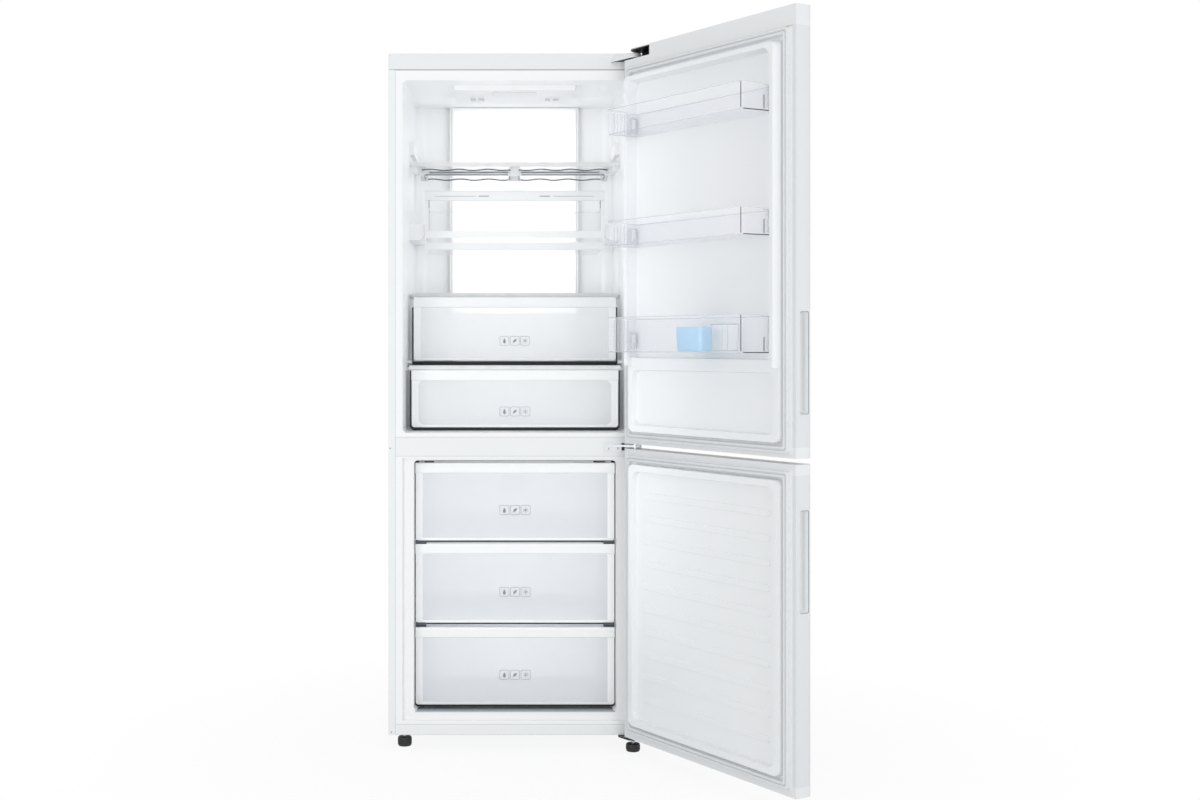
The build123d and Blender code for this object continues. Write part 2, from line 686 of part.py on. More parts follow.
rack_level = UPPER_SHELF_TOP - PANE - RACK_DROP
with BuildPart() as shelf_trims:
    for shelf_name, shelf_top, shelf_front in fridge_shelves:
        for edge_y, lip in ((shelf_front, 1), (shelf_back, -1)):
            drop = TRIM_HEIGHT - PANE if lip > 0 else PANE
            with BuildSketch(across(-shelf_half - 1)):
                with BuildLine():
                    Polyline(
                        (edge_y, shelf_top + 1.5),
                        (edge_y + lip * TRIM_DEPTH, shelf_top + 1.5),
                        (edge_y + lip * TRIM_DEPTH, shelf_top),
                        (edge_y + lip * TRIM_DEPTH / 2, shelf_top),
                        (edge_y + lip * TRIM_DEPTH / 2, shelf_top - PANE),
                        (edge_y + lip * TRIM_DEPTH, shelf_top - PANE),
                        (edge_y + lip * TRIM_DEPTH, shelf_top - PANE - 1.5),
                        (edge_y + lip * 2, shelf_top - PANE - drop),
                        (edge_y, shelf_top - PANE - drop + 2),
                        close=True,
                    )
                make_face()
            extrude(amount=2 * shelf_half + 2)
    for hanger_y in (RACK_FRONT + 10, RACK_FRONT + RACK_LENGTH - 22):
        for hanger_x in (0, -RACK_HALF_SPAN - 3, RACK_HALF_SPAN + 3):
            hanger_foot = 20 if hanger_x == 0 else 9
            with BuildSketch(facing(hanger_y)):
                with BuildLine():
                    Polyline(
                        (hanger_x - 15, UPPER_SHELF_TOP - PANE),
                        (hanger_x + 15, UPPER_SHELF_TOP - PANE),
                        (hanger_x + hanger_foot, rack_level - 6),
                        (hanger_x - hanger_foot, rack_level - 6),
                        close=True,
                    )
                make_face()
            extrude(amount=-12)
            if hanger_x == 0:
                for wire_x in (-RACK_INNER, RACK_INNER):
                    with Locations((wire_x, hanger_y + 6, rack_level)):
                        Cylinder(WIRE / 2 + 0.3, 14, rotation=(90, 0, 0), mode=Mode.SUBTRACT)
            else:
                wire_x = math.copysign(RACK_HALF_SPAN, hanger_x)
                with Locations((wire_x, hanger_y + 6, rack_level)):
                    Cylinder(WIRE / 2 + 0.3, 14, rotation=(90, 0, 0), mode=Mode.SUBTRACT)
save(shelf_trims, "shelf_trims")


def wavy_wire(y, start, end):
    """A wire that dips once for each bottle, made of arcs that meet in line."""
    half_pitch = (end - start) / (2 * BOTTLES_PER_PANEL)
    with BuildPart() as wire:
        with BuildLine(facing(y)) as path:
            for n in range(2 * BOTTLES_PER_PANEL):
                SagittaArc(
                    (start + n * half_pitch, rack_level),
                    (start + (n + 1) * half_pitch, rack_level),
                    (-1) ** n * CRADLE_RISE / 2,
                )
        with BuildSketch(Plane(origin=path.wire() @ 0, z_dir=path.wire() % 0)):
            RegularPolygon(WIRE * 0.45, WIRE_SIDES)
        sweep()
    return wire.part


rack_back = RACK_FRONT + RACK_LENGTH
panel_middle = ((RACK_INNER + RACK_HALF_SPAN) / 2, (RACK_FRONT + rack_back) / 2, rack_level)
with BuildPart() as rack_panel:
    for wave_y in (RACK_FRONT, rack_back):
        add(wavy_wire(wave_y, -RACK_HALF_SPAN, -RACK_INNER))
    for side_x in (-RACK_HALF_SPAN, -RACK_INNER):
        with Locations((side_x, panel_middle[1], rack_level)):
            Cylinder(WIRE / 2, RACK_LENGTH + WIRE, rotation=(90, 0, 0))
    with Locations((-panel_middle[0], panel_middle[1], rack_level)):
        Cylinder(WIRE * 0.4, RACK_HALF_SPAN - RACK_INNER, rotation=(0, 90, 0))

with BuildPart() as wine_rack:
    add(rack_panel.part)
    mirror(rack_panel.part, about=Plane.YZ)
save(wine_rack, "wine_rack")

# ------------------------------------------------------------------ freezer interior
with BuildPart() as freezer_shelves:
    for pane_top in freezer_pane_tops:
        with BuildSketch(level(pane_top - PANE)):
            with Locations((0, (FREEZER_DRAWER_FRONT + 4 + freezer_shelf_back) / 2)):
                RectangleRounded(
                    2 * freezer_shelf_half, freezer_shelf_back - FREEZER_DRAWER_FRONT - 4, 5
                )
        extrude(amount=PANE)
save(freezer_shelves, "freezer_shelves")

CLIP_WIDTH = 30.0
with BuildPart() as freezer_shelf_clips:
    for pane_top in freezer_pane_tops:
        for side in mirrored((FREEZER_DRAWER_HALF - CLIP_WIDTH, FREEZER_DRAWER_HALF)):
            block(
                side,
                (FREEZER_DRAWER_FRONT - 3, FREEZER_DRAWER_FRONT + 16),
                (pane_top - PANE - 2.6, pane_top),
            )
    for pane_top in freezer_pane_tops:
        block(
            (-freezer_shelf_half - 0.2, freezer_shelf_half + 0.2),
            (FREEZER_DRAWER_FRONT + 3.8, FREEZER_DRAWER_FRONT + 20),
            (pane_top - PANE - 0.2, pane_top + 1),
            Mode.SUBTRACT,
        )
    for side in mirrored((FREEZER_DRAWER_HALF - 51, FREEZER_DRAWER_HALF - 25)):
        block(
            side,
            (FREEZER_DRAWER_FRONT - 4, FREEZER_DRAWER_FRONT + 12),
            (TOP_DRAWER[1] + 2, FREEZER_CEILING),
        )
save(freezer_shelf_clips, "freezer_shelf_clips")

FAN_CENTRE = (0.0, EVAPORATOR_COVER_FRONT + 28, FREEZER_CEILING - 86)
FAN_RADIUS = 52.0
FAN_BLADES = 7
evaporator_back = EVAPORATOR_COVER_FRONT + EVAPORATOR_COVER_GAUGE
with BuildPart() as evaporator_cover:
    with BuildSketch(facing(EVAPORATOR_COVER_FRONT)):
        with Locations((0, (freezer_step_top + FREEZER_CEILING) / 2)):
            RectangleRounded(
                2 * side_wall(FREEZER_HALF, evaporator_back, FREEZER_DEPTH) - 2 * SLIDE_GAP,
                FREEZER_CEILING - freezer_step_top - 2 * SLIDE_GAP,
                MOUTH_CORNER + 1,
            )
    extrude(amount=-EVAPORATOR_COVER_GAUGE)
    with BuildSketch(facing(EVAPORATOR_COVER_FRONT + 3)):
        with Locations((0, FAN_CENTRE[2])):
            Circle(FAN_RADIUS + 5)
    extrude(amount=-EVAPORATOR_COVER_GAUGE, mode=Mode.SUBTRACT)
    with BuildSketch(facing(EVAPORATOR_COVER_FRONT)):
        with Locations((0, FAN_CENTRE[2])):
            with GridLocations(0, 14, 1, 7):
                Rectangle(78, 6)
    extrude(amount=-4, mode=Mode.SUBTRACT)
save(evaporator_cover, "evaporator_cover")

BLADE_PITCH = math.radians(32)
SPINDLE_RADIUS = 2.5


def behind_fan(distance):
    """An upright plane across the fan's spindle, a distance behind its middle."""
    centre = Vector(*FAN_CENTRE) + Vector(0, distance, 0)
    return Plane(origin=centre, x_dir=(-1, 0, 0), z_dir=(0, 1, 0))


with BuildPart() as evaporator_fan:
    with BuildSketch(behind_fan(-8)):
        Circle(17)
    extrude(amount=18)
    for n in range(FAN_BLADES):
        turn = 2 * math.pi * n / FAN_BLADES
        radial = Vector(math.cos(turn), 0, math.sin(turn))
        tangent = Vector(-math.sin(turn), 0, math.cos(turn))
        pitch_normal = tangent * math.sin(BLADE_PITCH) + Vector(0, math.cos(BLADE_PITCH), 0)
        with BuildSketch(Plane(origin=FAN_CENTRE, x_dir=radial, z_dir=pitch_normal)):
            with Locations((33, 0)):
                RectangleRounded(37, 27, 8)
        extrude(amount=0.8, both=True)
    with BuildSketch(behind_fan(-8)):
        Circle(SPINDLE_RADIUS + PIN_CLEARANCE)
    extrude(amount=19, mode=Mode.SUBTRACT)
save(evaporator_fan, "evaporator_fan")

with BuildPart() as fan_motor:
    with BuildSketch(behind_fan(13)):
        Circle(19)
    extrude(amount=20)
    with BuildSketch(behind_fan(-4)):
        Circle(SPINDLE_RADIUS)
    extrude(amount=18)
    block(
        (-30, 30),
        (FAN_CENTRE[1] + 33, FREEZER_DEPTH),
        (FAN_CENTRE[2] - 8, FAN_CENTRE[2] + 8),
    )
save(fan_motor, "fan_motor")

FIN_COUNT = 12
TUBE_ROWS = 3
TUBE_SIDES = 8
EVAPORATOR_HALF = FREEZER_HALF - 64
EVAPORATOR_SPAN = (375.0, 615.0)
evaporator_middle = (evaporator_back + FREEZER_DEPTH) / 2
with BuildPart() as evaporator:
    for n in range(FIN_COUNT):
        fin_x = -EVAPORATOR_HALF + 2 * EVAPORATOR_HALF * n / (FIN_COUNT - 1)
        block((fin_x - 0.6, fin_x + 0.6), (evaporator_back + 5, FREEZER_DEPTH - 6), EVAPORATOR_SPAN)
    for n in range(TUBE_ROWS):
        tube_z = EVAPORATOR_SPAN[0] + 40 + n * 80
        with BuildSketch(across(-EVAPORATOR_HALF - 14)):
            with Locations((evaporator_middle, tube_z)):
                RegularPolygon(4.2, TUBE_SIDES)
        extrude(amount=2 * EVAPORATOR_HALF + 28)
        if n < TUBE_ROWS - 1:
            bend_x = (EVAPORATOR_HALF + 9) * (-1) ** n
            with BuildSketch(level(tube_z)):
                with Locations((bend_x, evaporator_middle)):
                    RegularPolygon(3.6, TUBE_SIDES)
            extrude(amount=80)
    for side in mirrored((EVAPORATOR_HALF - 6, EVAPORATOR_HALF)):
        block(side, (evaporator_back + 5, FREEZER_DEPTH), (EVAPORATOR_SPAN[1] - 20, EVAPORATOR_SPAN[1]))
save(evaporator, "evaporator")

# ------------------------------------------------------------------ machine compartment
COMPRESSOR_X = -110.0
COMPRESSOR_RADIUS = 84.0
compressor_y = (machine_front + CABINET_DEPTH) / 2
MOUNT_HEIGHT = 18.0
plate_level = foam_bottom + MOUNT_HEIGHT
COMPRESSOR_TOP = 235.0
COMPRESSOR_SEAM = 160.0
COMPRESSOR_PLATE = (220.0, 150.0)
with BuildPart() as compressor:
    with BuildSketch(Plane(origin=(COMPRESSOR_X, compressor_y, 0), x_dir=(1, 0, 0), z_dir=(0, -1, 0))):
        with BuildLine():
            Polyline(
                (0, plate_level + 3),
                (COMPRESSOR_RADIUS - 22, plate_level + 3),
                (COMPRESSOR_RADIUS - 4, plate_level + 18),
                (COMPRESSOR_RADIUS - 4, COMPRESSOR_SEAM),
                (COMPRESSOR_RADIUS, COMPRESSOR_SEAM),
                (COMPRESSOR_RADIUS, COMPRESSOR_SEAM + 6),
                (COMPRESSOR_RADIUS - 3, COMPRESSOR_SEAM + 6),
                (COMPRESSOR_RADIUS - 3, COMPRESSOR_TOP - 39),
                (COMPRESSOR_RADIUS - 9, COMPRESSOR_TOP - 22),
                (COMPRESSOR_RADIUS - 24, COMPRESSOR_TOP - 8),
                (COMPRESSOR_RADIUS - 50, COMPRESSOR_TOP),
                (0, COMPRESSOR_TOP),
                close=True,
            )
        make_face()
    revolve(axis=Axis((COMPRESSOR_X, compressor_y, 0), (0, 0, 1)))
    with BuildSketch(level(plate_level)):
        with Locations((COMPRESSOR_X, compressor_y)):
            RectangleRounded(*COMPRESSOR_PLATE, 12)
    extrude(amount=3.5)
    block(
        (COMPRESSOR_X + COMPRESSOR_RADIUS - 8, COMPRESSOR_X + COMPRESSOR_RADIUS + 30),
        (compressor_y - 32, compressor_y + 32),
        (90, 155),
    )
save(compressor, "compressor")

with BuildPart() as compressor_mounts:
    with Locations((COMPRESSOR_X, compressor_y, foam_bottom + MOUNT_HEIGHT / 2)):
        with GridLocations(COMPRESSOR_PLATE[0] - 40, COMPRESSOR_PLATE[1] - 40, 2, 2):
            Cylinder(12, MOUNT_HEIGHT)
save(compressor_mounts, "compressor_mounts")

DRIP_TRAY_SIZE = (300.0, 170.0, 34.0)
with BuildPart() as drip_tray:
    for inset, mode in ((0, Mode.ADD), (2, Mode.SUBTRACT)):
        with BuildSketch(level(COMPRESSOR_TOP + SLIDE_GAP + inset)):
            with Locations((COMPRESSOR_X, compressor_y)):
                RectangleRounded(DRIP_TRAY_SIZE[0] - 2 * inset, DRIP_TRAY_SIZE[1] - 2 * inset, 14 - inset)
        extrude(amount=DRIP_TRAY_SIZE[2], mode=mode)
save(drip_tray, "drip_tray")

INLET = (half_width - 97.5, 120.0)
INLET_RADIUS = 9.0
with BuildPart() as machine_cover:
    with BuildSketch(facing(CABINET_DEPTH - 1.2)):
        with Locations((0, (foam_bottom + machine_top) / 2)):
            RectangleRounded(CABINET_WIDTH - 24, machine_top - foam_bottom - 2 * SLIDE_GAP, 8)
        with Locations((-60, (foam_bottom + machine_top) / 2)):
            with GridLocations(72, 24, 6, 7):
                Rectangle(54, 8, mode=Mode.SUBTRACT)
        with Locations(INLET):
            Circle(INLET_RADIUS + 0.2, mode=Mode.SUBTRACT)
    extrude(amount=-1.2)
save(machine_cover, "machine_cover")

with BuildPart() as mains_inlet:
    with BuildSketch(Plane(origin=(INLET[0], CABINET_DEPTH, INLET[1]), x_dir=(1, 0, 0), z_dir=(0, 0, 1))):
        with BuildLine():
            Polyline(
                (4, 6),
                (INLET_RADIUS - 2, 6),
                (INLET_RADIUS + 4, 0.2),
                (INLET_RADIUS, 0.2),
                (INLET_RADIUS, -1.5),
                (INLET_RADIUS + 3, -1.5),
                (INLET_RADIUS + 1, -9),
                (4, -9),
                close=True,
            )
        make_face()
    revolve(axis=Axis((INLET[0], CABINET_DEPTH, INLET[1]), (0, 1, 0)))
save(mains_inlet, "mains_inlet")

COIL_RUNS = 5
COIL_PITCH = 300.0
COIL_RADIUS = 2.4
COIL_HALF = half_width - 77.5
with BuildPart() as condenser_coil:
    coil_depth = CABINET_DEPTH - SHELL_GAUGE - COIL_RADIUS - 0.2
    corners = []
    for n in range(COIL_RUNS):
        run_z = machine_top + 90 + n * COIL_PITCH
        ends = [(-COIL_HALF, run_z), (COIL_HALF, run_z)]
        corners += ends if n % 2 == 0 else ends[::-1]
    with BuildLine(facing(coil_depth)) as path:
        FilletPolyline(*corners, radius=0.3 * COIL_PITCH)
    with BuildSketch(Plane(origin=path.wire() @ 0, z_dir=path.wire() % 0)):
        RegularPolygon(COIL_RADIUS, TUBE_SIDES)
    sweep()
save(condenser_coil, "condenser_coil")

# ------------------------------------------------------------------ hinges
def arm_outline(height, reach_left, reach_right, back, around):
    """A hinge arm's outline: square on the cabinet, round about the pivot."""
    with BuildSketch(level(height)) as outline:
        with BuildLine():
            Polyline(
                (reach_left, back),
                (reach_left, 4),
                (pivot[0] - around * 0.8, pivot[1] - around * 0.6),
                (pivot[0] + around * 0.96, pivot[1] - around * 0.28),
                (reach_right, 4),
                (reach_right, back),
                close=True,
            )
        make_face()
        with Locations(pivot):
            Circle(around)
    return outline.sketch


ARM_ROUND = 13.0
with BuildPart() as upper_hinge:
    extrude(arm_outline(HINGE_PLATE_LEVEL, pivot[0] - 58, pivot[0] + 16, 56, ARM_ROUND), amount=HINGE_PLATE)
    block((pivot[0] - 56, pivot[0] + 14), (52, 56), (cover_bottom - TOP_COVER_GAP, HINGE_PLATE_LEVEL + 1))
    block(
        (pivot[0] - 56, pivot[0] + 14),
        (20, 56),
        (cover_bottom - TOP_COVER_GAP, cover_bottom - TOP_COVER_GAP + 3),
    )
    pin_bottom = HINGE_PLATE_LEVEL - 7 - PIN_ENGAGEMENT + 4
    rod(*pivot, (pin_bottom, HINGE_PLATE_LEVEL + 1), PIN_RADIUS)
save(upper_hinge, "upper_hinge")

with BuildPart() as hinge_cover:
    extrude(arm_outline(HINGE_PLATE_LEVEL - 3, pivot[0] - 62, pivot[0] + 17.5, 4.1, ARM_ROUND + 3), amount=19)
    block((0, half_width), (-0.3, 60), (HINGE_PLATE_LEVEL - 10, CABINET_TOP), Mode.SUBTRACT)
    lid_edges = hinge_cover.faces().sort_by(Axis.Z)[-1].outer_wire().edges()
    fillet(lid_edges.filter_by(lambda edge: edge.center().Y < -1), 4)
    extrude(
        arm_outline(HINGE_PLATE_LEVEL - 4, pivot[0] - 59.5, pivot[0] + 16.4, 4.1, ARM_ROUND + 0.4),
        amount=HINGE_PLATE + 5,
        mode=Mode.SUBTRACT,
    )
save(hinge_cover, "hinge_cover")

middle_arm_top = MIDDLE_ARM_LEVEL + MIDDLE_ARM_GAUGE
with BuildPart() as middle_hinge:
    block((pivot[0] - 83, pivot[0] - 26), (-3, 0), (MIDDLE_ARM_LEVEL - 13, middle_arm_top + 4))
    with BuildSketch(level(MIDDLE_ARM_LEVEL)):
        with BuildLine():
            Polyline(
                (pivot[0] - 76, 0),
                (pivot[0] - 76, -8),
                (pivot[0] - 6, pivot[1] - 10.4),
                (pivot[0] + 12, pivot[1]),
                (pivot[0] - 8, 0),
                close=True,
            )
        make_face()
        with Locations(pivot):
            Circle(12)
    extrude(amount=MIDDLE_ARM_GAUGE)
    rod(*pivot, (LOWER_DOOR[1] - PIN_ENGAGEMENT + 4, UPPER_DOOR[0] + PIN_ENGAGEMENT - 4), PIN_RADIUS)
    for screw_x in (pivot[0] - 70, pivot[0] - 45):
        with BuildSketch(facing(-3)):
            with Locations((screw_x, MIDDLE_ARM_LEVEL - 6.5)):
                Circle(4.2)
        extrude(amount=1.6)
save(middle_hinge, "middle_hinge")

with BuildPart() as lower_hinge:
    with BuildSketch(level(CABINET_BOTTOM - HINGE_PLATE)):
        with BuildLine():
            Polyline(
                (pivot[0] - 44, 62),
                (pivot[0] - 44, -6),
                (pivot[0] - 18, pivot[1] - 12),
                (pivot[0] + 10, pivot[1] - 12),
                (pivot[0] + 19, pivot[1] - 2),
                (pivot[0] + 19, 62),
                close=True,
            )
        make_face()
    extrude(amount=HINGE_PLATE)
    rod(*pivot, (CABINET_BOTTOM - 1, LOWER_DOOR[0] + PIN_ENGAGEMENT - 4), PIN_RADIUS)
    rod(
        RIGHT_FOOT[0],
        RIGHT_FOOT[1],
        (CABINET_BOTTOM - HINGE_PLATE - 1, CABINET_BOTTOM + 1),
        STEM_RADIUS + PIN_CLEARANCE,
        Mode.SUBTRACT,
    )
save(lower_hinge, "lower_hinge")

with BuildPart() as cabinet_screws:
    for x, z in (
        (4.9 - half_width, MULLION_BOTTOM + 22),
        (8.5 - half_width, CABINET_BOTTOM + 9),
        (half_width - 8.5, CABINET_BOTTOM + 9),
    ):
        with BuildSketch(facing(0)):
            with Locations((x, z)):
                Circle(3.2)
        extrude(amount=1.2)
    for x, y in ((pivot[0] - 30, 30), (pivot[0] - 30, 52)):
        with Locations((x, y, CABINET_BOTTOM - HINGE_PLATE - 2)):
            Cylinder(6, 4)
    for x in (pivot[0] - 45, pivot[0] - 2):
        with Locations((x, 34, cover_bottom - TOP_COVER_GAP + 3 + 2.5)):
            Cylinder(6, 5)
save(cabinet_screws, "cabinet_screws")


# ------------------------------------------------------------------ doors
def inward(depth):
    """An upright plane that faces into the cabinet; its local y is Z."""
    return Plane(origin=(0, depth, 0), x_dir=(-1, 0, 0), z_dir=(0, 1, 0))


def door_slab(zs, inset, back):
    """The door's plan with its rounded outer corners, between two heights."""
    with BuildPart() as slab:
        with BuildSketch(level(zs[0])) as plan:
            with Locations((0, (door_face + inset + back) / 2)):
                Rectangle(CABINET_WIDTH - 2 * inset, back - door_face - inset)
            fillet(plan.vertices().group_by(Axis.Y)[0], DOOR_CORNER - inset)
        extrude(amount=zs[1] - zs[0])
    return slab.part


FIELD_RISE = 4.0
DYKE_ROUND = 20.0
dyke_outer = DOOR_FIELD_HALF - 3.5
dyke_inner = dyke_outer - DYKE_WIDTH - 4
grip_ys = (door_back - 9 - GRIP_WIDTH, door_back - 9)
bin_back = door_back + FIELD_RISE + 2.0
boss_ys = (bin_back + 7, bin_back + 7 + BOSS_WIDTH)
bins = (("upper_bin", TOP_BIN), ("middle_bin", MIDDLE_BIN), ("lower_bin", BOTTOM_BIN))
CROSSBAR = (1040.0, 1075.0)


def raised(zs, half, root, rise, corner, draft):
    """A drafted rounded panel that rises from the door's inner face, rooted below it."""
    with BuildPart() as panel:
        with BuildSketch(inward(door_back - root)):
            with Locations((0, (zs[0] + zs[1]) / 2)):
                RectangleRounded(2 * half, zs[1] - zs[0], corner)
        extrude(amount=rise + root, taper=draft)
    return panel.part


def hollowed(zs, half, floor, rise, corner, draft):
    """A drafted pocket that opens away from the door's inner face."""
    with BuildPart() as pocket:
        with BuildSketch(inward(door_back + floor)) as outline:
            with Locations((0, (zs[0] + zs[1]) / 2)):
                RectangleRounded(2 * half, zs[1] - zs[0], corner)
        extrude(amount=rise + 1 - floor, taper=-draft)
    return pocket.part


def upper_form(skin):
    """The upper door's inner form: a dyke ring, lower beside the lower pocket; skin thins it."""
    low, high = UPPER_FIELD[0] + 4 + skin, DYKE_TOP - skin
    rise = DYKE_HEIGHT - skin
    low_rise = LOW_DYKE_HEIGHT - skin
    floor = FIELD_RISE - skin
    with BuildPart() as form:
        add(raised((low, high), dyke_outer - skin, skin, rise, DYKE_ROUND, DYKE_DRAFT))
        add(
            hollowed(
                (CROSSBAR[1] - skin, high - DYKE_WIDTH - 4 + 2 * skin),
                dyke_inner + skin,
                floor,
                rise,
                DYKE_ROUND,
                DYKE_DRAFT,
            ),
            mode=Mode.SUBTRACT,
        )
        add(
            hollowed(
                (low + DYKE_WIDTH + 4 - 2 * skin, CROSSBAR[0] + skin),
                dyke_inner + skin,
                floor,
                rise,
                DYKE_ROUND,
                DYKE_DRAFT,
            ),
            mode=Mode.SUBTRACT,
        )
        block(
            (-half_width, half_width),
            (door_back + low_rise, door_back + rise + 1),
            (low - 1, DYKE_STEP_LEVEL + skin),
            Mode.SUBTRACT,
        )
        block(
            (-dyke_inner - 4 - skin, dyke_inner + 4 + skin),
            (door_back + low_rise, door_back + rise + 1),
            (low - 1, CROSSBAR[1] + skin),
            Mode.SUBTRACT,
        )
    return form.part


def lower_form(skin):
    """The lower door's inner form: a raised rim round a panel."""
    low, high = LOWER_FIELD[0] + 5 + skin, LOWER_FIELD[1] - 3 - skin
    with BuildPart() as form:
        add(raised((low, high), dyke_outer - skin, skin, LOW_DYKE_HEIGHT - skin, DYKE_ROUND, DYKE_DRAFT))
        add(
            hollowed(
                (low + DYKE_WIDTH + 4 - 2 * skin, high - DYKE_WIDTH - 4 + 2 * skin),
                dyke_inner + skin,
                FIELD_RISE - skin,
                LOW_DYKE_HEIGHT - skin,
                DYKE_ROUND,
                DYKE_DRAFT,
            ),
            mode=Mode.SUBTRACT,
        )
    return form.part


def sheet_span(field):
    """The height that a door's liner sheet covers, gasket band included."""
    return field[0] - GASKET_WIDTH - 1, field[1] + GASKET_WIDTH + 1


def door_skin(door, top_cap, low_cap, grip_middle):
    """The folded steel outer skin, with returns on the inner face and the grip's cut-out."""
    span = (door[0] + low_cap, door[1] - top_cap)
    with BuildPart() as skin:
        add(door_slab(span, 0, door_back))
        add(
            door_slab((span[0] - 1, span[1] + 1), SHELL_GAUGE, door_back - SHELL_GAUGE),
            mode=Mode.SUBTRACT,
        )
        block(
            (-half_width + DOOR_RETURN, half_width - DOOR_RETURN),
            (door_back - 2, door_back + 1),
            (span[0] - 1, span[1] + 1),
            Mode.SUBTRACT,
        )
        block(
            (-half_width - 1, -half_width + 8),
            grip_ys,
            (grip_middle - GRIP_LENGTH / 2, grip_middle + GRIP_LENGTH / 2),
            Mode.SUBTRACT,
        )
    return skin


def cap_shell(door, top_cap, low_cap, field):
    """The plastic end caps at the top and bottom of a door, open towards the foam."""
    with BuildPart() as caps:
        add(door_slab((door[1] - top_cap, door[1]), 0, door_back))
        add(door_slab((door[0], door[0] + low_cap), 0, door_back))
        add(
            door_slab(
                (door[0] + CAP_WALL, door[1] - CAP_WALL),
                CAP_WALL,
                door_back - CAP_WALL,
            ),
            mode=Mode.SUBTRACT,
        )
        block(
            (-half_width + DOOR_RETURN, half_width - DOOR_RETURN),
            (door_back - LINER_GAUGE, door_back + 1),
            sheet_span(field),
            Mode.SUBTRACT,
        )
    return caps


PIN_BOSS = 10.0
POCKET_REACH = 92.0
pocket_floor = HINGE_PLATE_LEVEL - 7
pocket_left = pivot[0] - POCKET_REACH


def pin_boss(zs):
    """A boss round a hinge pin, in the part being built."""
    rod(*pivot, zs, PIN_BOSS)


def pin_hole(zs):
    """The running hole for a hinge pin, in the part being built."""
    rod(*pivot, zs, PIN_RADIUS + PIN_CLEARANCE, Mode.SUBTRACT)


with BuildPart() as upper_door_caps:
    add(cap_shell(UPPER_DOOR, CAP_HEIGHT, LOW_CAP_HEIGHT, UPPER_FIELD))
    with BuildPart(mode=Mode.PRIVATE) as corner:
        add(door_slab((UPPER_DOOR[1] - CAP_HEIGHT, UPPER_DOOR[1]), 0, door_back))
        block(
            (pocket_left - CAP_WALL, half_width + 1),
            (door_face - 1, door_back + 1),
            (pocket_floor - CAP_WALL, UPPER_DOOR[1]),
            Mode.INTERSECT,
        )
    add(corner.part)
    pin_boss((UPPER_DOOR[1] - CAP_HEIGHT, pocket_floor))
    pin_boss((UPPER_DOOR[0], UPPER_DOOR[0] + LOW_CAP_HEIGHT - 4))
    block(
        (pocket_left, half_width + 1),
        (door_face + CAP_WALL, door_back + 1),
        (pocket_floor, UPPER_DOOR[1] + 1),
        Mode.SUBTRACT,
    )
    block(
        (pivot[0] - 10, half_width + 1),
        (door_face - 1, door_back + 1),
        (pocket_floor, UPPER_DOOR[1] + 1),
        Mode.SUBTRACT,
    )
    pin_hole((UPPER_DOOR[1] - CAP_HEIGHT - 1, UPPER_DOOR[1]))
    pin_hole((UPPER_DOOR[0] - 1, UPPER_DOOR[0] + PIN_ENGAGEMENT - 3))
save(upper_door_caps, "upper_door_caps", OPEN_DOOR)

with BuildPart() as lower_door_caps:
    add(cap_shell(LOWER_DOOR, LOW_CAP_HEIGHT, LOW_CAP_HEIGHT, LOWER_FIELD))
    pin_boss((LOWER_DOOR[1] - LOW_CAP_HEIGHT + 4, LOWER_DOOR[1]))
    pin_boss((LOWER_DOOR[0], LOWER_DOOR[0] + LOW_CAP_HEIGHT - 4))
    pin_hole((LOWER_DOOR[1] - PIN_ENGAGEMENT + 3, LOWER_DOOR[1] + 1))
    pin_hole((LOWER_DOOR[0] - 1, LOWER_DOOR[0] + PIN_ENGAGEMENT - 3))
save(lower_door_caps, "lower_door_caps", OPEN_DOOR)

save(door_skin(UPPER_DOOR, CAP_HEIGHT, LOW_CAP_HEIGHT, UPPER_GRIP_MIDDLE), "upper_door_skin", OPEN_DOOR)
save(door_skin(LOWER_DOOR, LOW_CAP_HEIGHT, LOW_CAP_HEIGHT, LOWER_GRIP_MIDDLE), "lower_door_skin", OPEN_DOOR)


def door_core(door, top_cap, low_cap, form, grip_middle):
    """The foam that fills a door between its skin, caps, liner and grip."""
    with BuildPart() as core:
        add(
            door_slab(
                (door[0] + CAP_WALL, door[1] - CAP_WALL), CAP_WALL, door_back - CAP_WALL
            )
        )
        add(
            door_slab(
                (door[0] + low_cap, door[1] - top_cap), SHELL_GAUGE, door_back - LINER_GAUGE
            )
        )
        add(form)
        block(
            (-half_width - 1, -half_width + GRIP_DEPTH),
            grip_ys,
            (grip_middle - GRIP_LENGTH / 2, grip_middle + GRIP_LENGTH / 2),
            Mode.SUBTRACT,
        )
        for boss in (
            (door[0], door[0] + low_cap),
            (door[1] - top_cap, door[1]),
        ):
            rod(*pivot, boss, PIN_BOSS, Mode.SUBTRACT)
    return core


with BuildPart() as upper_door_foam:
    add(door_core(UPPER_DOOR, CAP_HEIGHT, LOW_CAP_HEIGHT, upper_form(LINER_GAUGE), UPPER_GRIP_MIDDLE))
    block(
        (pocket_left - CAP_WALL, half_width + 1),
        (door_face - 1, door_back + 1),
        (pocket_floor - CAP_WALL, UPPER_DOOR[1] + 1),
        Mode.SUBTRACT,
    )
save(upper_door_foam, "upper_door_foam", OPEN_DOOR)

with BuildPart() as lower_door_foam:
    add(door_core(LOWER_DOOR, LOW_CAP_HEIGHT, LOW_CAP_HEIGHT, lower_form(LINER_GAUGE), LOWER_GRIP_MIDDLE))
save(lower_door_foam, "lower_door_foam", OPEN_DOOR)


def liner_sheet(field, outer, core):
    """A door's vacuum-formed liner: the flat sheet under the gasket and the form inside it."""
    with BuildPart() as liner:
        block(
            (-half_width + DOOR_RETURN + 0.2, half_width - DOOR_RETURN - 0.2),
            (door_back - LINER_GAUGE, door_back),
            sheet_span(field),
        )
        add(outer)
        add(core, mode=Mode.SUBTRACT)
    return liner.part


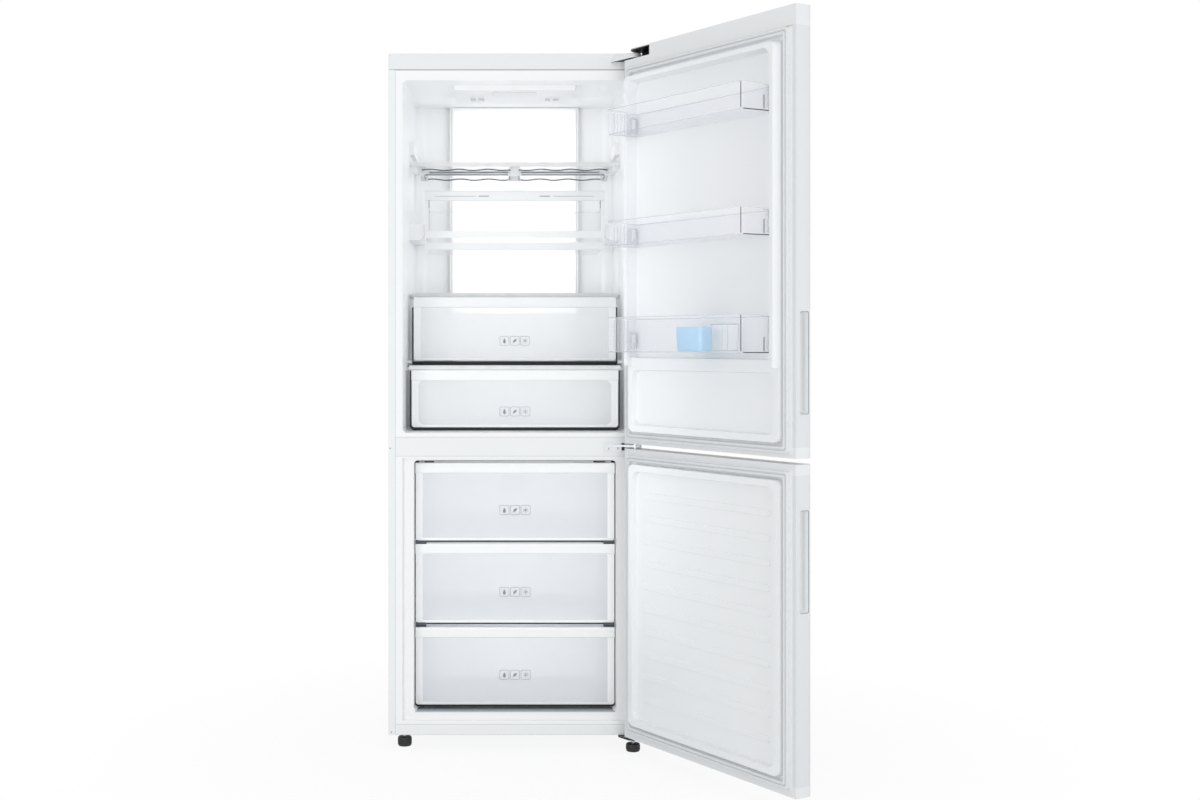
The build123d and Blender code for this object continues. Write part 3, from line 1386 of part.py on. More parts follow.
with BuildPart() as bossed_form:
    add(upper_form(0))
    for bin_name, (bin_low, bin_high) in bins:
        for side in mirrored((BIN_HALF + 1, dyke_inner + 6)):
            block(side, boss_ys, (bin_low + 22, bin_low + 22 + BOSS_HEIGHT))

with BuildPart() as upper_door_liner:
    add(liner_sheet(UPPER_FIELD, bossed_form.part, upper_form(LINER_GAUGE)))
save(upper_door_liner, "upper_door_liner", OPEN_DOOR)

GROOVES = 10
GROOVE_PITCH = 60.4
GROOVE_TOP = 705.0
GROOVE_HEIGHT = 18.0
with BuildPart() as lower_door_liner:
    add(liner_sheet(LOWER_FIELD, lower_form(0), lower_form(LINER_GAUGE)))
    with BuildSketch(inward(door_back + FIELD_RISE)):
        for n in range(GROOVES):
            with Locations((0, GROOVE_TOP - n * GROOVE_PITCH)):
                SlotOverall(2 * dyke_inner - 50, GROOVE_HEIGHT)
    extrude(amount=2, taper=30)
save(lower_door_liner, "lower_door_liner", OPEN_DOOR)


def gasket(field):
    """The magnetic door seal: a mitred ring with a groove between its bellows and its lip."""
    middle = (field[0] + field[1]) / 2
    height = field[1] - field[0]
    with BuildPart() as seal:
        with BuildSketch(inward(door_back)):
            with Locations((0, middle)):
                RectangleRounded(
                    2 * (DOOR_FIELD_HALF + GASKET_WIDTH), height + 2 * GASKET_WIDTH, 9
                )
                RectangleRounded(2 * DOOR_FIELD_HALF, height, 3, mode=Mode.SUBTRACT)
        extrude(amount=DOOR_GAP - GASKET_CLEAR)
        with BuildSketch(inward(door_back + DOOR_GAP - GASKET_CLEAR - 4)):
            with Locations((0, middle)):
                RectangleRounded(
                    2 * DOOR_FIELD_HALF + GASKET_WIDTH + 3, height + GASKET_WIDTH + 3, 6
                )
                RectangleRounded(
                    2 * DOOR_FIELD_HALF + GASKET_WIDTH - 3,
                    height + GASKET_WIDTH - 3,
                    4,
                    mode=Mode.SUBTRACT,
                )
        extrude(amount=5, mode=Mode.SUBTRACT)
    return seal


save(gasket(UPPER_FIELD), "upper_door_gasket", OPEN_DOOR)
save(gasket(LOWER_FIELD), "lower_door_gasket", OPEN_DOOR)


def grip(middle):
    """The recessed handle in the door's free edge: a tub with sloped ends and a finger lip."""
    low, high = middle - GRIP_LENGTH / 2, middle + GRIP_LENGTH / 2
    floor = -half_width + GRIP_DEPTH - GRIP_WALL
    slope = 22.0
    with BuildPart() as tub:
        block((-half_width, -half_width + GRIP_DEPTH), grip_ys, (low, high))
        with BuildSketch(facing(grip_ys[0] + GRIP_WALL)):
            with BuildLine():
                Polyline(
                    (-half_width - 1, low + GRIP_WALL),
                    (floor, low + slope),
                    (floor, high - slope),
                    (-half_width - 1, high - GRIP_WALL),
                    close=True,
                )
            make_face()
        extrude(amount=-(GRIP_WIDTH - 2 * GRIP_WALL), mode=Mode.SUBTRACT)
        with BuildSketch(level(low + slope)):
            with BuildLine():
                Polyline(
                    (-half_width + 1, grip_ys[0] + GRIP_WALL - 0.5),
                    (-half_width + 1, grip_ys[0] + GRIP_WALL + 4),
                    (-half_width + 6, grip_ys[0] + GRIP_WALL - 0.5),
                    close=True,
                )
            make_face()
        extrude(amount=GRIP_LENGTH - 2 * slope)
    return tub


save(grip(UPPER_GRIP_MIDDLE), "upper_door_grip", OPEN_DOOR)
save(grip(LOWER_GRIP_MIDDLE), "lower_door_grip", OPEN_DOOR)


# ------------------------------------------------------------------ door bins and trays
def bin_plan(grow):
    """A bin's plan with its two round front corners, made larger all round by grow."""
    with BuildSketch() as plan:
        with Locations((0, bin_back + BIN_REACH / 2)):
            Rectangle(2 * (BIN_HALF + grow), BIN_REACH + 2 * grow)
        fillet(plan.vertices().group_by(Axis.Y)[-1], BIN_CORNER + grow)
    return plan.sketch


def door_bin(low, high):
    """A clear bin with round front corners, a cut-down back and hooks over the liner's bosses."""
    boss_top = low + 22 + BOSS_HEIGHT
    with BuildPart() as tray:
        for inset, mode in ((0, Mode.ADD), (BIN_WALL, Mode.SUBTRACT)):
            with BuildSketch(level(low + inset)):
                add(bin_plan(-inset))
            extrude(amount=high - low, mode=mode)
        with BuildSketch(across(-BIN_HALF - 1)):
            with BuildLine():
                Polyline(
                    (bin_back - 1, high - 12),
                    (bin_back + 30, high - 12),
                    (bin_back + 48, high),
                    (bin_back + 48, high + 1),
                    (bin_back - 1, high + 1),
                    close=True,
                )
            make_face()
        extrude(amount=2 * BIN_HALF + 2, mode=Mode.SUBTRACT)
        with BuildSketch(level(high - 5)):
            add(bin_plan(BIN_LIP))
            add(bin_plan(-BIN_WALL), mode=Mode.SUBTRACT)
            with Locations((0, bin_back + BIN_LIP_START / 2)):
                Rectangle(2 * BIN_HALF + 10, BIN_LIP_START + 10, mode=Mode.SUBTRACT)
        extrude(amount=4)
        for side in mirrored((BIN_HALF - 0.5, BIN_HALF + 6.3)):
            block(
                side,
                (boss_ys[0] - SLIDE_GAP - HOOK_RIB, boss_ys[1] + SLIDE_GAP + HOOK_RIB),
                (boss_top + SLIDE_GAP, boss_top + SLIDE_GAP + HOOK_RIB),
            )
            for rib in (
                (boss_ys[0] - SLIDE_GAP - HOOK_RIB, boss_ys[0] - SLIDE_GAP),
                (boss_ys[1] + SLIDE_GAP, boss_ys[1] + SLIDE_GAP + HOOK_RIB),
            ):
                block(side, rib, (low + 8, boss_top + SLIDE_GAP))
    return tray


for bin_name, (bin_low, bin_high) in bins:
    save(door_bin(bin_low, bin_high), bin_name, OPEN_DOOR)

TRAY_FLOOR = BOTTOM_BIN[0] + BIN_WALL + SLIDE_GAP
BLUE_TRAY = (-96.0, 46.0)
CLEAR_TRAY = (-206.0, -100.0)
with BuildPart() as blue_tray:
    blue_x = (BLUE_TRAY[0] + BLUE_TRAY[1]) / 2
    tray_y = bin_back + BIN_REACH / 2 - 1
    with BuildSketch(level(TRAY_FLOOR)):
        with Locations((blue_x, tray_y)):
            RectangleRounded(BLUE_TRAY[1] - BLUE_TRAY[0], 88, 12)
    extrude(amount=62)
    with BuildSketch(level(TRAY_FLOOR + 2)):
        with Locations((blue_x, tray_y)):
            RectangleRounded(BLUE_TRAY[1] - BLUE_TRAY[0] - 5, 83, 10)
    extrude(amount=62, mode=Mode.SUBTRACT)
    for n in (-1, 1):
        block(
            (blue_x + n * 23 - 1, blue_x + n * 23 + 1),
            (tray_y - 42, tray_y + 42),
            (TRAY_FLOOR + 1, TRAY_FLOOR + 46),
        )
save(blue_tray, "blue_tray", OPEN_DOOR)

with BuildPart() as clear_tray:
    clear_x = (CLEAR_TRAY[0] + CLEAR_TRAY[1]) / 2
    with BuildSketch(level(TRAY_FLOOR)):
        with Locations((clear_x, tray_y)):
            RectangleRounded(CLEAR_TRAY[1] - CLEAR_TRAY[0], 84, 26)
    extrude(amount=68)
    with BuildSketch(level(TRAY_FLOOR + 2)):
        with Locations((clear_x, tray_y)):
            RectangleRounded(CLEAR_TRAY[1] - CLEAR_TRAY[0] - 5, 79, 23.5)
    extrude(amount=68, mode=Mode.SUBTRACT)
save(clear_tray, "clear_tray", OPEN_DOOR)


# ------------------------------------------------------------------ drawers
def drawer(half, low, high, front, length, rim_drop=16.0, side_step=DRAWER_SIDE_STEP, back_drop=26.0):
    """A clear drawer: a tub with round back corners behind a wider front with a hooked handle."""
    tub_half = half - side_step
    rim = high - rim_drop
    with BuildPart() as box:
        for inset, mode in ((0, Mode.ADD), (DRAWER_WALL, Mode.SUBTRACT)):
            with BuildSketch(level(low + inset)) as plan:
                with Locations((0, front + (length + 1) / 2)):
                    Rectangle(2 * (tub_half - inset), length - 1 - 2 * inset)
                fillet(plan.vertices().group_by(Axis.Y)[-1], 22 - inset)
            extrude(amount=rim - low, mode=mode)
        block(
            (-tub_half - 1, tub_half + 1),
            (front + length - 40, front + length + 1),
            (rim - back_drop, rim + 1),
            Mode.SUBTRACT,
        )
        for side in mirrored((tub_half - DRAWER_WALL, tub_half + 1.5)):
            block(side, (front + 3, front + length - 41), (rim - 3, rim))
        with BuildSketch(facing(front)):
            with Locations((0, (low + high) / 2)):
                RectangleRounded(2 * half, high - low, 7)
        extrude(amount=-4)
        with BuildSketch(across(-half - 1)):
            with BuildLine():
                Polyline(
                    (front + 0.5, high - HANDLE_BAND),
                    (front - 2, high - HANDLE_BAND + 2),
                    (front - 4, high - 6),
                    (front - 1, high - 0.5),
                    (front + 15, high - 0.5),
                    (front + 15, high - 7),
                    (front + 12.5, high - 7),
                    (front + 12.5, high - 3),
                    (front + 2, high - 3),
                    close=True,
                )
            make_face()
        extrude(amount=2 * half + 2)
    return box


save(drawer(CHILL_HALF, CHILL_BOTTOM, CHILL_TOP, CHILL_FRONT, CHILL_LENGTH), "chill_drawer")
save(drawer(CRISPER_HALF, CRISPER_BOTTOM, CRISPER_TOP, CRISPER_FRONT, CRISPER_LENGTH), "crisper_drawer")
with BuildPart() as deli_drawer:
    add(drawer(DELI_HALF, DELI_BOTTOM, DELI_TOP, DELI_FRONT, DELI_LENGTH, side_step=2.0))
    for side in mirrored((DELI_HALF - 3, deli_runner_inner + 22)):
        block(
            side,
            (DELI_FRONT + 6, DELI_FRONT + DELI_LENGTH - 24),
            (DELI_RUNNER_TOP + SLIDE_GAP, DELI_RUNNER_TOP + SLIDE_GAP + 3),
        )
    for bar_low, bar_high, bar_rise in DELI_BARS:
        block(
            (-DELI_HALF, DELI_HALF),
            (DELI_FRONT - bar_rise, DELI_FRONT + 1),
            (DELI_BOTTOM + bar_low, DELI_BOTTOM + bar_high),
        )
save(deli_drawer, "deli_drawer")

freezer_drawers = (
    ("top_freezer_drawer", TOP_DRAWER, FREEZER_DRAWER_LENGTH),
    ("middle_freezer_drawer", MIDDLE_DRAWER, FREEZER_DRAWER_LENGTH),
    ("lowest_freezer_drawer", LOWEST_DRAWER, LOWEST_DRAWER_LENGTH),
)
for drawer_name, (low, high), length in freezer_drawers:
    save(drawer(FREEZER_DRAWER_HALF, low, high, FREEZER_DRAWER_FRONT, length), drawer_name)
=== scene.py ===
"""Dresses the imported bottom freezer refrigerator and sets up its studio.

The pieces are drawn in millimetres, in the frame of the cabinet or of a shut door: X to
the right from the cabinet's middle, Y away from the camera from its front, and Z up from
the ground. The lamps, the camera and the floor are placed in metres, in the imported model's
own frame, which has the same directions. A value whose name ends in _px is in pixels of
the 1200 by 800 picture.
"""

import logging
import math
from collections.abc import Iterable
from dataclasses import dataclass, field
from enum import Enum

import bmesh
import bpy
from mathutils import Matrix, Vector


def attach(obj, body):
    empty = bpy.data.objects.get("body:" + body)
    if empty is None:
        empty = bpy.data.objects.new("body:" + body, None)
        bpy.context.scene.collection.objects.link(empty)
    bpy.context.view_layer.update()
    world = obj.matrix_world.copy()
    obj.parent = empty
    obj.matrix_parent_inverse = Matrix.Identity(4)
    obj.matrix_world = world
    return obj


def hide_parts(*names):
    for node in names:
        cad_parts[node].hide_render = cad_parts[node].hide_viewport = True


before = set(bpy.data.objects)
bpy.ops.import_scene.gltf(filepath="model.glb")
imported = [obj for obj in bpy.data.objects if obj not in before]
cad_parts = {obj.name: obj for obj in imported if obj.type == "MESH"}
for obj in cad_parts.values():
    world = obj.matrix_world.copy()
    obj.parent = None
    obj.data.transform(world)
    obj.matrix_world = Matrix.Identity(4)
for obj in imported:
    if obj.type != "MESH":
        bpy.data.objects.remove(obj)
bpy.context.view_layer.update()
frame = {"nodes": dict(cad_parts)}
LOG = logging.getLogger("refrigerator")

MM = 0.001

Flat = tuple[float, float]
Point = tuple[float, float, float]
Box = tuple[Flat, Flat, Flat]


# ---------------------------------------------------------------- colour and nodes
def linear(code: str) -> tuple[float, float, float, float]:
    """Turns an sRGB hex colour into Blender's linear one.

    Args:
        code: the colour as six hex digits after a hash.

    Returns:
        Linear red, green and blue, and an alpha of 1.
    """
    channels = [int(code[i : i + 2], 16) / 255 for i in (1, 3, 5)]
    low = [c / 12.92 if c <= 0.04045 else ((c + 0.055) / 1.055) ** 2.4 for c in channels]
    return (low[0], low[1], low[2], 1.0)


def add_node(
    tree: bpy.types.NodeTree,
    kind: str,
    settings: dict | None = None,
    links: dict | None = None,
) -> bpy.types.Node:
    """Adds a node with its settings and links.

    Args:
        tree: the node tree that gets it.
        kind: Blender's name for the node's type, without the leading ShaderNode.
        settings: values of the node's properties, or of its sockets by name or number.
        links: output sockets that feed its sockets, by name or number.

    Returns:
        The new node.
    """
    added = tree.nodes.new("ShaderNode" + kind)
    for name, value in (settings or {}).items():
        if isinstance(name, str) and hasattr(added, name):
            setattr(added, name, value)
        else:
            added.inputs[name].default_value = value
    for name, socket in (links or {}).items():
        tree.links.new(socket, added.inputs[name])
    return added


def between(low: float, high: float, start: float = 0.0, end: float = 1.0) -> dict[str, float]:
    """The settings of a map range, whose result holds at both ends.

    Args:
        low: the result where the value's range starts.
        high: the result where it ends.
        start: the value at which the range starts.
        end: the value at which it ends.

    Returns:
        The four settings by name.
    """
    return {"From Min": start, "From Max": end, "To Min": low, "To Max": high}


# ---------------------------------------------------------------- finishes
@dataclass(frozen=True)
class Surface:
    """The nodes of one material while its finish is put on."""

    tree: bpy.types.NodeTree
    shader: bpy.types.Node

    def pattern(
        self, kind: str, size_mm: float, detail: float | None = None
    ) -> bpy.types.Node:
        """Adds a texture whose marks have a real size on the object.

        Args:
            kind: the texture's type, as add_node takes it.
            size_mm: the real size of one mark.
            detail: how many finer layers it holds, where it isn't Blender's own number.

        Returns:
            The texture's node.
        """
        place = add_node(self.tree, "TexCoord").outputs["Object"]
        settings = {"Scale": 1 / (size_mm * MM)}
        if detail is not None:
            settings["Detail"] = detail
        return add_node(self.tree, kind, settings, {"Vector": place})

    def tone(self, share: bpy.types.NodeSocket, colour: str, other: str) -> None:
        """Blends the base colour from one hex colour towards another by a share."""
        colours = {"data_type": "RGBA", 6: linear(colour), 7: linear(other)}
        self.feed("Base Color", add_node(self.tree, "Mix", colours, {0: share}).outputs[2])

    def relief(self, height: bpy.types.NodeSocket, depth_mm: float) -> None:
        """Raises the surface by a height from 0 to 1 times a real depth."""
        bumped = add_node(self.tree, "Bump", {"Distance": depth_mm * MM}, {"Height": height})
        self.feed("Normal", bumped.outputs[0])

    def feed(self, socket: str, source: bpy.types.NodeSocket) -> None:
        """Lets one of the shader's sockets follow a source."""
        self.tree.links.new(source, self.shader.inputs[socket])


@dataclass(frozen=True)
class Finish:
    """A surface finish: what a material is and how its surface was made."""

    name: str
    colour: str
    roughness: float
    ior: float = 1.5
    metallic: float = 0.0
    coat: float = 0.0

    def material(self) -> bpy.types.Material:
        """Makes the finish as a material, or finds it where it was made before.

        Returns:
            The material, with its nodes.
        """
        made = bpy.data.materials.get(self.name)
        if made is None:
            made = bpy.data.materials.new(self.name)
            made.use_nodes = True
            tree = made.node_tree
            tree.nodes.clear()
            settings = {
                "Base Color": linear(self.colour),
                "Roughness": self.roughness,
                "Metallic": self.metallic,
                "IOR": self.ior,
                "Coat Weight": self.coat,
            }
            shader = add_node(tree, "BsdfPrincipled", settings)
            self.dress(Surface(tree, shader))
            add_node(tree, "OutputMaterial", links={"Surface": shader.outputs[0]})
        return made

    def dress(self, surface: Surface) -> None:
        """Adds what sets this finish apart from a single flat colour."""
        raise NotImplementedError(f"{type(self).__name__} doesn't dress {surface.tree.name}")

    def drift(self, surface: Surface, size_mm: float, most: float, other: str) -> None:
        """Lets the tone drift slowly towards another.

        Args:
            surface: the material's nodes.
            size_mm: the real size of one patch.
            most: the largest share of the other tone.
            other: the other tone as a hex colour.
        """
        patches = surface.pattern("TexNoise", size_mm, 1.0).outputs[0]
        share = add_node(surface.tree, "MapRange", between(0, most), {"Value": patches})
        surface.tone(share.outputs[0], self.colour, other)

    def waver(
        self, surface: Surface, value: bpy.types.NodeSocket, finer: float, duller: float
    ) -> None:
        """Lets the gloss waver with a value.

        Args:
            surface: the material's nodes.
            value: what it follows, from 0 to 1.
            finer: how far the roughness falls below the finish's own, at 0.
            duller: how far it rises above it, at 1.
        """
        ends = between(self.roughness - finer, self.roughness + duller)
        polish = add_node(surface.tree, "MapRange", ends, {"Value": value})
        surface.feed("Roughness", polish.outputs[0])


@dataclass(frozen=True)
class PrepaintedSteel(Finish):
    """Coil-coated steel: an even, fairly glossy paint with a faint orange peel.

    The peel is drawn coarser than the real one, so that it still shows in the render.
    """

    shade: str = "#E9EBED"
    shade_share: float = 0.5
    drift_mm: float = 420.0
    peel_mm: float = 2.2
    peel_depth_mm: float = 0.004
    polish_mm: float = 90.0

    def dress(self, surface: Surface) -> None:
        """Adds faint orange peel in the gloss and a slow drift of tone along the sheet.

        Args:
            surface: the material's nodes.
        """
        self.drift(surface, self.drift_mm, self.shade_share, self.shade)
        peel = surface.pattern("TexNoise", self.peel_mm, 1.0).outputs[0]
        surface.relief(peel, self.peel_depth_mm)
        self.waver(surface, surface.pattern("TexNoise", self.polish_mm).outputs[0], 0.04, 0.05)


@dataclass(frozen=True)
class FormedPlastic(Finish):
    """Vacuum-formed or moulded plastic: soft gloss that wavers, and a fine grain.

    The grain is drawn coarser than the real one, which is too fine to show in the render.
    """

    shade: str = "#DFE3E6"
    shade_share: float = 0.45
    drift_mm: float = 260.0
    grain_mm: float = 1.2
    grain_depth_mm: float = 0.006
    flow_mm: float = 70.0
    flow_depth_mm: float = 0.015
    polish_mm: float = 40.0

    def dress(self, surface: Surface) -> None:
        """Adds slow waves from forming over a fine grain, and slightly uneven gloss.

        Args:
            surface: the material's nodes.
        """
        self.drift(surface, self.drift_mm, self.shade_share, self.shade)
        grain = surface.pattern("TexNoise", self.grain_mm).outputs[0]
        flow = surface.pattern("TexNoise", self.flow_mm, 1.0).outputs[0]
        share = self.flow_depth_mm / self.grain_depth_mm
        sum_of_both = {"operation": "MULTIPLY_ADD", 1: share}
        height = add_node(surface.tree, "Math", sum_of_both, {0: flow, 2: grain}).outputs[0]
        surface.relief(height, self.grain_depth_mm)
        self.waver(surface, surface.pattern("TexNoise", self.polish_mm).outputs[0], 0.05, 0.07)


@dataclass(frozen=True)
class ClearMoulding(Finish):
    """Clear moulded plastic: nearly invisible face on, and denser towards its edges."""

    ior: float = 1.59
    through: float = 0.045
    edge: float = 0.6
    edge_colour: str = "#B4BCC4"
    edge_power: float = 0.22
    ripple: float = 0.01
    flow_mm: float = 30.0
    flow_depth_mm: float = 0.05

    def dress(self, surface: Surface) -> None:
        """Adds opacity and tint that grow where the wall is seen along its length.

        Args:
            surface: the material's nodes.
        """
        tree = surface.tree
        facing = add_node(tree, "LayerWeight", {"Blend": self.edge_power}).outputs["Facing"]
        flow = surface.pattern("TexNoise", self.flow_mm, 1.0).outputs[0]
        walls = between(self.through, self.edge)
        body = add_node(tree, "MapRange", walls, {"Value": facing}).outputs[0]
        waves = between(1 - self.ripple, 1 + self.ripple)
        ripple = add_node(tree, "MapRange", waves, {"Value": flow}).outputs[0]
        alpha = add_node(tree, "Math", {"operation": "MULTIPLY"}, {0: body, 1: ripple})
        surface.feed("Alpha", alpha.outputs[0])
        surface.tone(facing, self.colour, self.edge_colour)
        surface.relief(flow, self.flow_depth_mm)


@dataclass(frozen=True)
class ToughenedGlass(Finish):
    """Float glass, toughened: clear through its faces and green-blue at its ground edges."""

    edge_colour: str = "#DCE6E8"
    edge_power: float = 0.3
    through: float = 0.05
    slanting: float = 0.22
    densest: float = 0.85

    def dress(self, surface: Surface) -> None:
        """Adds clear faces, and edges that hold the glass's own tint.

        Args:
            surface: the material's nodes.
        """
        tree = surface.tree
        normal = add_node(tree, "NewGeometry").outputs["Normal"]
        upright = add_node(tree, "SeparateXYZ", links={0: normal}).outputs[2]
        lying = add_node(tree, "Math", {"operation": "ABSOLUTE"}, {0: upright}).outputs[0]
        edge = add_node(tree, "MapRange", between(1, 0, 0.3, 0.7), {"Value": lying}).outputs[0]
        facing = add_node(tree, "LayerWeight", {"Blend": self.edge_power}).outputs["Facing"]
        pane = between(self.through, self.slanting)
        face = add_node(tree, "MapRange", pane, {"Value": facing}).outputs[0]
        alpha = add_node(tree, "Math", {"operation": "MAXIMUM"}, {0: edge, 1: face}).outputs[0]
        held = add_node(tree, "MapRange", between(0, self.densest), {"Value": alpha})
        surface.feed("Alpha", held.outputs[0])
        surface.tone(edge, self.colour, self.edge_colour)


@dataclass(frozen=True)
class BrightMetal(Finish):
    """Plated or bare metal: a faint haze of fine scratches in the gloss.

    The scratches are drawn coarser than the real ones, so that they show in the render.
    """

    brush_mm: float = 0.8
    brush_depth_mm: float = 0.002
    cloud_mm: float = 25.0
    haze: float = 0.1

    def dress(self, surface: Surface) -> None:
        """Adds uneven gloss at the scale of the brushing, and slight cloudiness.

        Args:
            surface: the material's nodes.
        """
        streak = surface.pattern("TexNoise", self.brush_mm, 3.0).outputs[0]
        cloud = surface.pattern("TexNoise", self.cloud_mm).outputs[0]
        both = add_node(surface.tree, "Math", {"operation": "MULTIPLY"}, {0: streak, 1: cloud})
        ends = between(self.roughness, self.roughness + self.haze, 0.1, 0.5)
        polish = add_node(surface.tree, "MapRange", ends, {"Value": both.outputs[0]})
        surface.feed("Roughness", polish.outputs[0])
        surface.relief(streak, self.brush_depth_mm)


@dataclass(frozen=True)
class SpangledZinc(Finish):
    """Hot-dip galvanised sheet: crystals of zinc that differ in tone and gloss."""

    spangle_mm: float = 9.0
    dull: str = "#A9AEB2"

    def dress(self, surface: Surface) -> None:
        """Adds one tone and one gloss for each zinc crystal.

        Args:
            surface: the material's nodes.
        """
        crystals = surface.pattern("TexVoronoi", self.spangle_mm).outputs["Color"]
        tone = add_node(surface.tree, "SeparateXYZ", links={0: crystals}).outputs[0]
        surface.tone(tone, self.colour, self.dull)
        self.waver(surface, tone, 0.08, 0.12)


@dataclass(frozen=True)
class SoftRubber(Finish):
    """Moulded rubber, vinyl or dark plastic and enamel, and flat tones that paint shade, with
    dust-like mottling.
    """

    mottle_mm: float = 3.0
    dust: str = "#3A3B3D"
    dust_share: float = 0.35
    grain_depth_mm: float = 0.02

    def dress(self, surface: Surface) -> None:
        """Adds a fine mottle in tone and a slight skin texture.

        Args:
            surface: the material's nodes.
        """
        mottle = surface.pattern("TexNoise", self.mottle_mm, 3.0).outputs[0]
        ends = between(0, self.dust_share, 0.4, 0.8)
        dusty = add_node(surface.tree, "MapRange", ends, {"Value": mottle})
        surface.tone(dusty.outputs[0], self.colour, self.dust)
        surface.relief(mottle, self.grain_depth_mm)


@dataclass(frozen=True)
class RigidFoam(Finish):
    """Poured polyurethane foam: closed cells under a yellowish skin.

    The cells are drawn coarser than the real ones, so that they show in the render.
    """

    cell_mm: float = 2.0
    cell_depth_mm: float = 0.4
    crust: str = "#C9B98A"
    crust_mm: float = 35.0

    def dress(self, surface: Surface) -> None:
        """Adds cells in the surface and darker patches of skin.

        Args:
            surface: the material's nodes.
        """
        patches = surface.pattern("TexNoise", self.crust_mm).outputs[0]
        skin = add_node(surface.tree, "MapRange", between(0, 1, 0.4, 0.7), {"Value": patches})
        surface.tone(skin.outputs[0], self.colour, self.crust)
        cells = surface.pattern("TexVoronoi", self.cell_mm).outputs["Distance"]
        surface.relief(cells, self.cell_depth_mm)


# The cabinet's sheet: cool white and even, with broad, soft reflections.
WHITE_STEEL = PrepaintedSteel(
    "prepainted_steel_white", "#F1F3F4", 0.34, coat=0.1, shade="#E9ECEE"
)
# The doors' sheet: the cabinet's paint, a little glossier, and coloured greyer as painted shade.
DOOR_STEEL_SHADED = PrepaintedSteel("prepainted_steel_door_painted_shade", "#E2E5E8", 0.3, coat=0.15, shade="#DBDFE3")
# The vacuum-formed linings: clean white walls whose wide highlights hardly waver.
LINER = FormedPlastic(
    "polystyrene_liner_white", "#F7F8F9", 0.3, ior=1.59, flow_depth_mm=0.004, shade="#F0F2F4"
)
# The same sheet drawn deeper over the doors' moulds: thinner, so the highlights waver more,
# and coloured greyer as painted shade.
DOOR_LINER_SHADED = FormedPlastic("polystyrene_door_liner_painted_shade", "#F0F2F4", 0.3, ior=1.59, shade="#EAEDEF")
# The duct's panel, moulded against a polished tool: bright white with sharp reflections.
GLOSS_PANEL = FormedPlastic(
    "polystyrene_duct_panel", "#FCFCFD", 0.14, ior=1.59, flow_depth_mm=0.02, shade="#F6F8F9"
)
# Moulded covers and caps: a satin, slightly grey white that reads softer than the paint.
SATIN = FormedPlastic(
    "abs_satin_white", "#EAECEE", 0.42, ior=1.53, flow_depth_mm=0.01, shade="#E3E6E8"
)
# The grips' cups: the satin plastic coloured lighter, as painted light that makes up for the
# shade in their recesses.
GRIP_PAINTED_LIGHT = FormedPlastic(
    "abs_grip_painted_light", "#F3F5F6", 0.35, ior=1.53, flow_depth_mm=0.004, shade="#DFE3E6"
)
# The lamp's cover: a smooth, milky diffuser.
LENS = FormedPlastic("polycarbonate_diffuser", "#FAFBFB", 0.35, ior=1.58)

# Crystal polystyrene of the bins and the deli drawer: glassy, with pale grey edges.
BIN_CLEAR = ClearMoulding(
    "polystyrene_clear_bin",
    "#F3F5F7",
    0.06,
    through=0.05,
    edge=0.4,
    edge_colour="#D3D9DF",
    ripple=0.1,
)
# The door bins' thicker walls: the same plastic with a violet-blue cast.
BIN_SHEET = ClearMoulding(
    "polystyrene_bin_sheet",
    "#F1F2F9",
    0.1,
    through=0.16,
    edge=0.36,
    edge_colour="#E4E7F0",
)
# The clear tray's thin walls: almost nothing but their highlights shows.
TRAY_CLEAR = ClearMoulding(
    "polystyrene_clear_tray",
    "#FDFDFE",
    0.1,
    through=0.06,
    edge=0.22,
    edge_colour="#F4F7FA",
)
# Rims and ribs, where the clear plastic is thick: light grey lines.
RIM_CLEAR = ClearMoulding(
    "polystyrene_clear_rim",
    "#DFE4E8",
    0.1,
    through=0.32,
    edge=0.8,
    edge_colour="#AEB7BF",
)
# The shelves' trims: milky strips that let a little light through.
TRIM_CLEAR = ClearMoulding(
    "polystyrene_shelf_trim",
    "#FBFCFD",
    0.3,
    through=0.82,
    edge=0.95,
    edge_colour="#F1F3F5",
    ripple=0.1,
)
# The small tray's tinted polypropylene: waxy light blue, hardly see-through.
TRAY_BLUE = ClearMoulding(
    "polypropylene_light_blue",
    "#ABD9F6",
    0.2,
    ior=1.49,
    through=0.86,
    edge=0.97,
    edge_colour="#A2D8F8",
    ripple=0.1,
)
# The fridge drawers' windows: a haze hides what is inside and keeps a wet gloss.
HAZED_WINDOW = ClearMoulding(
    "polystyrene_hazed_window",
    "#F6F8FA",
    0.12,
    through=0.66,
    edge=0.85,
    edge_colour="#DDE2E8",
)
# The freezer drawers' windows: a little clearer and cooler.
FREEZER_WINDOW = ClearMoulding(
    "polystyrene_freezer_window",
    "#F4F7FA",
    0.14,
    through=0.6,
    edge=0.85,
    edge_colour="#DCE1E7",
)
# Painted shade: soft grey bands behind the drawers' windows, across their lower part and
# down their sides.
TUB_SHADE_BANDS = ClearMoulding(
    "painted_shade_tub_bands",
    "#C6CDD5",
    0.4,
    through=0.34,
    edge=0.4,
    edge_colour="#BEC6CE",
)
# Frosted borders of the drawers' fronts: matt white that only glows with what is behind.
FROSTED = ClearMoulding(
    "polystyrene_frosted",
    "#F7F9FA",
    0.45,
    through=0.84,
    edge=0.95,
    edge_colour="#DDE2E6",
)
# The shelves' panes: clear faces between pale green-blue ground edges.
GLASS = ToughenedGlass("toughened_float_glass", "#E9F0F1", 0.04, ior=1.52)

# Chromed wire: its grey base colour paints the dark of a room that thin wires would mirror
# between glints.
CHROME_WIRE = BrightMetal("chromed_wire_painted_reflection", "#777C82", 0.12, metallic=1.0)
# Zinc-plated hinges and screws: light grey with a satin shine.
ZINC_PLATE = BrightMetal("zinc_plated_steel", "#D3D6D9", 0.26, metallic=1.0, brush_mm=0.6)
# The evaporator's rolled aluminium: soft, whitish reflections.
ALUMINIUM = BrightMetal("bare_aluminium", "#D9DBDD", 0.3, metallic=1.0)
# Galvanised sheet at the back and below: grey patches of crystal.
GALVANISED = SpangledZinc("galvanised_sheet", "#C3C7CA", 0.38, metallic=0.9)

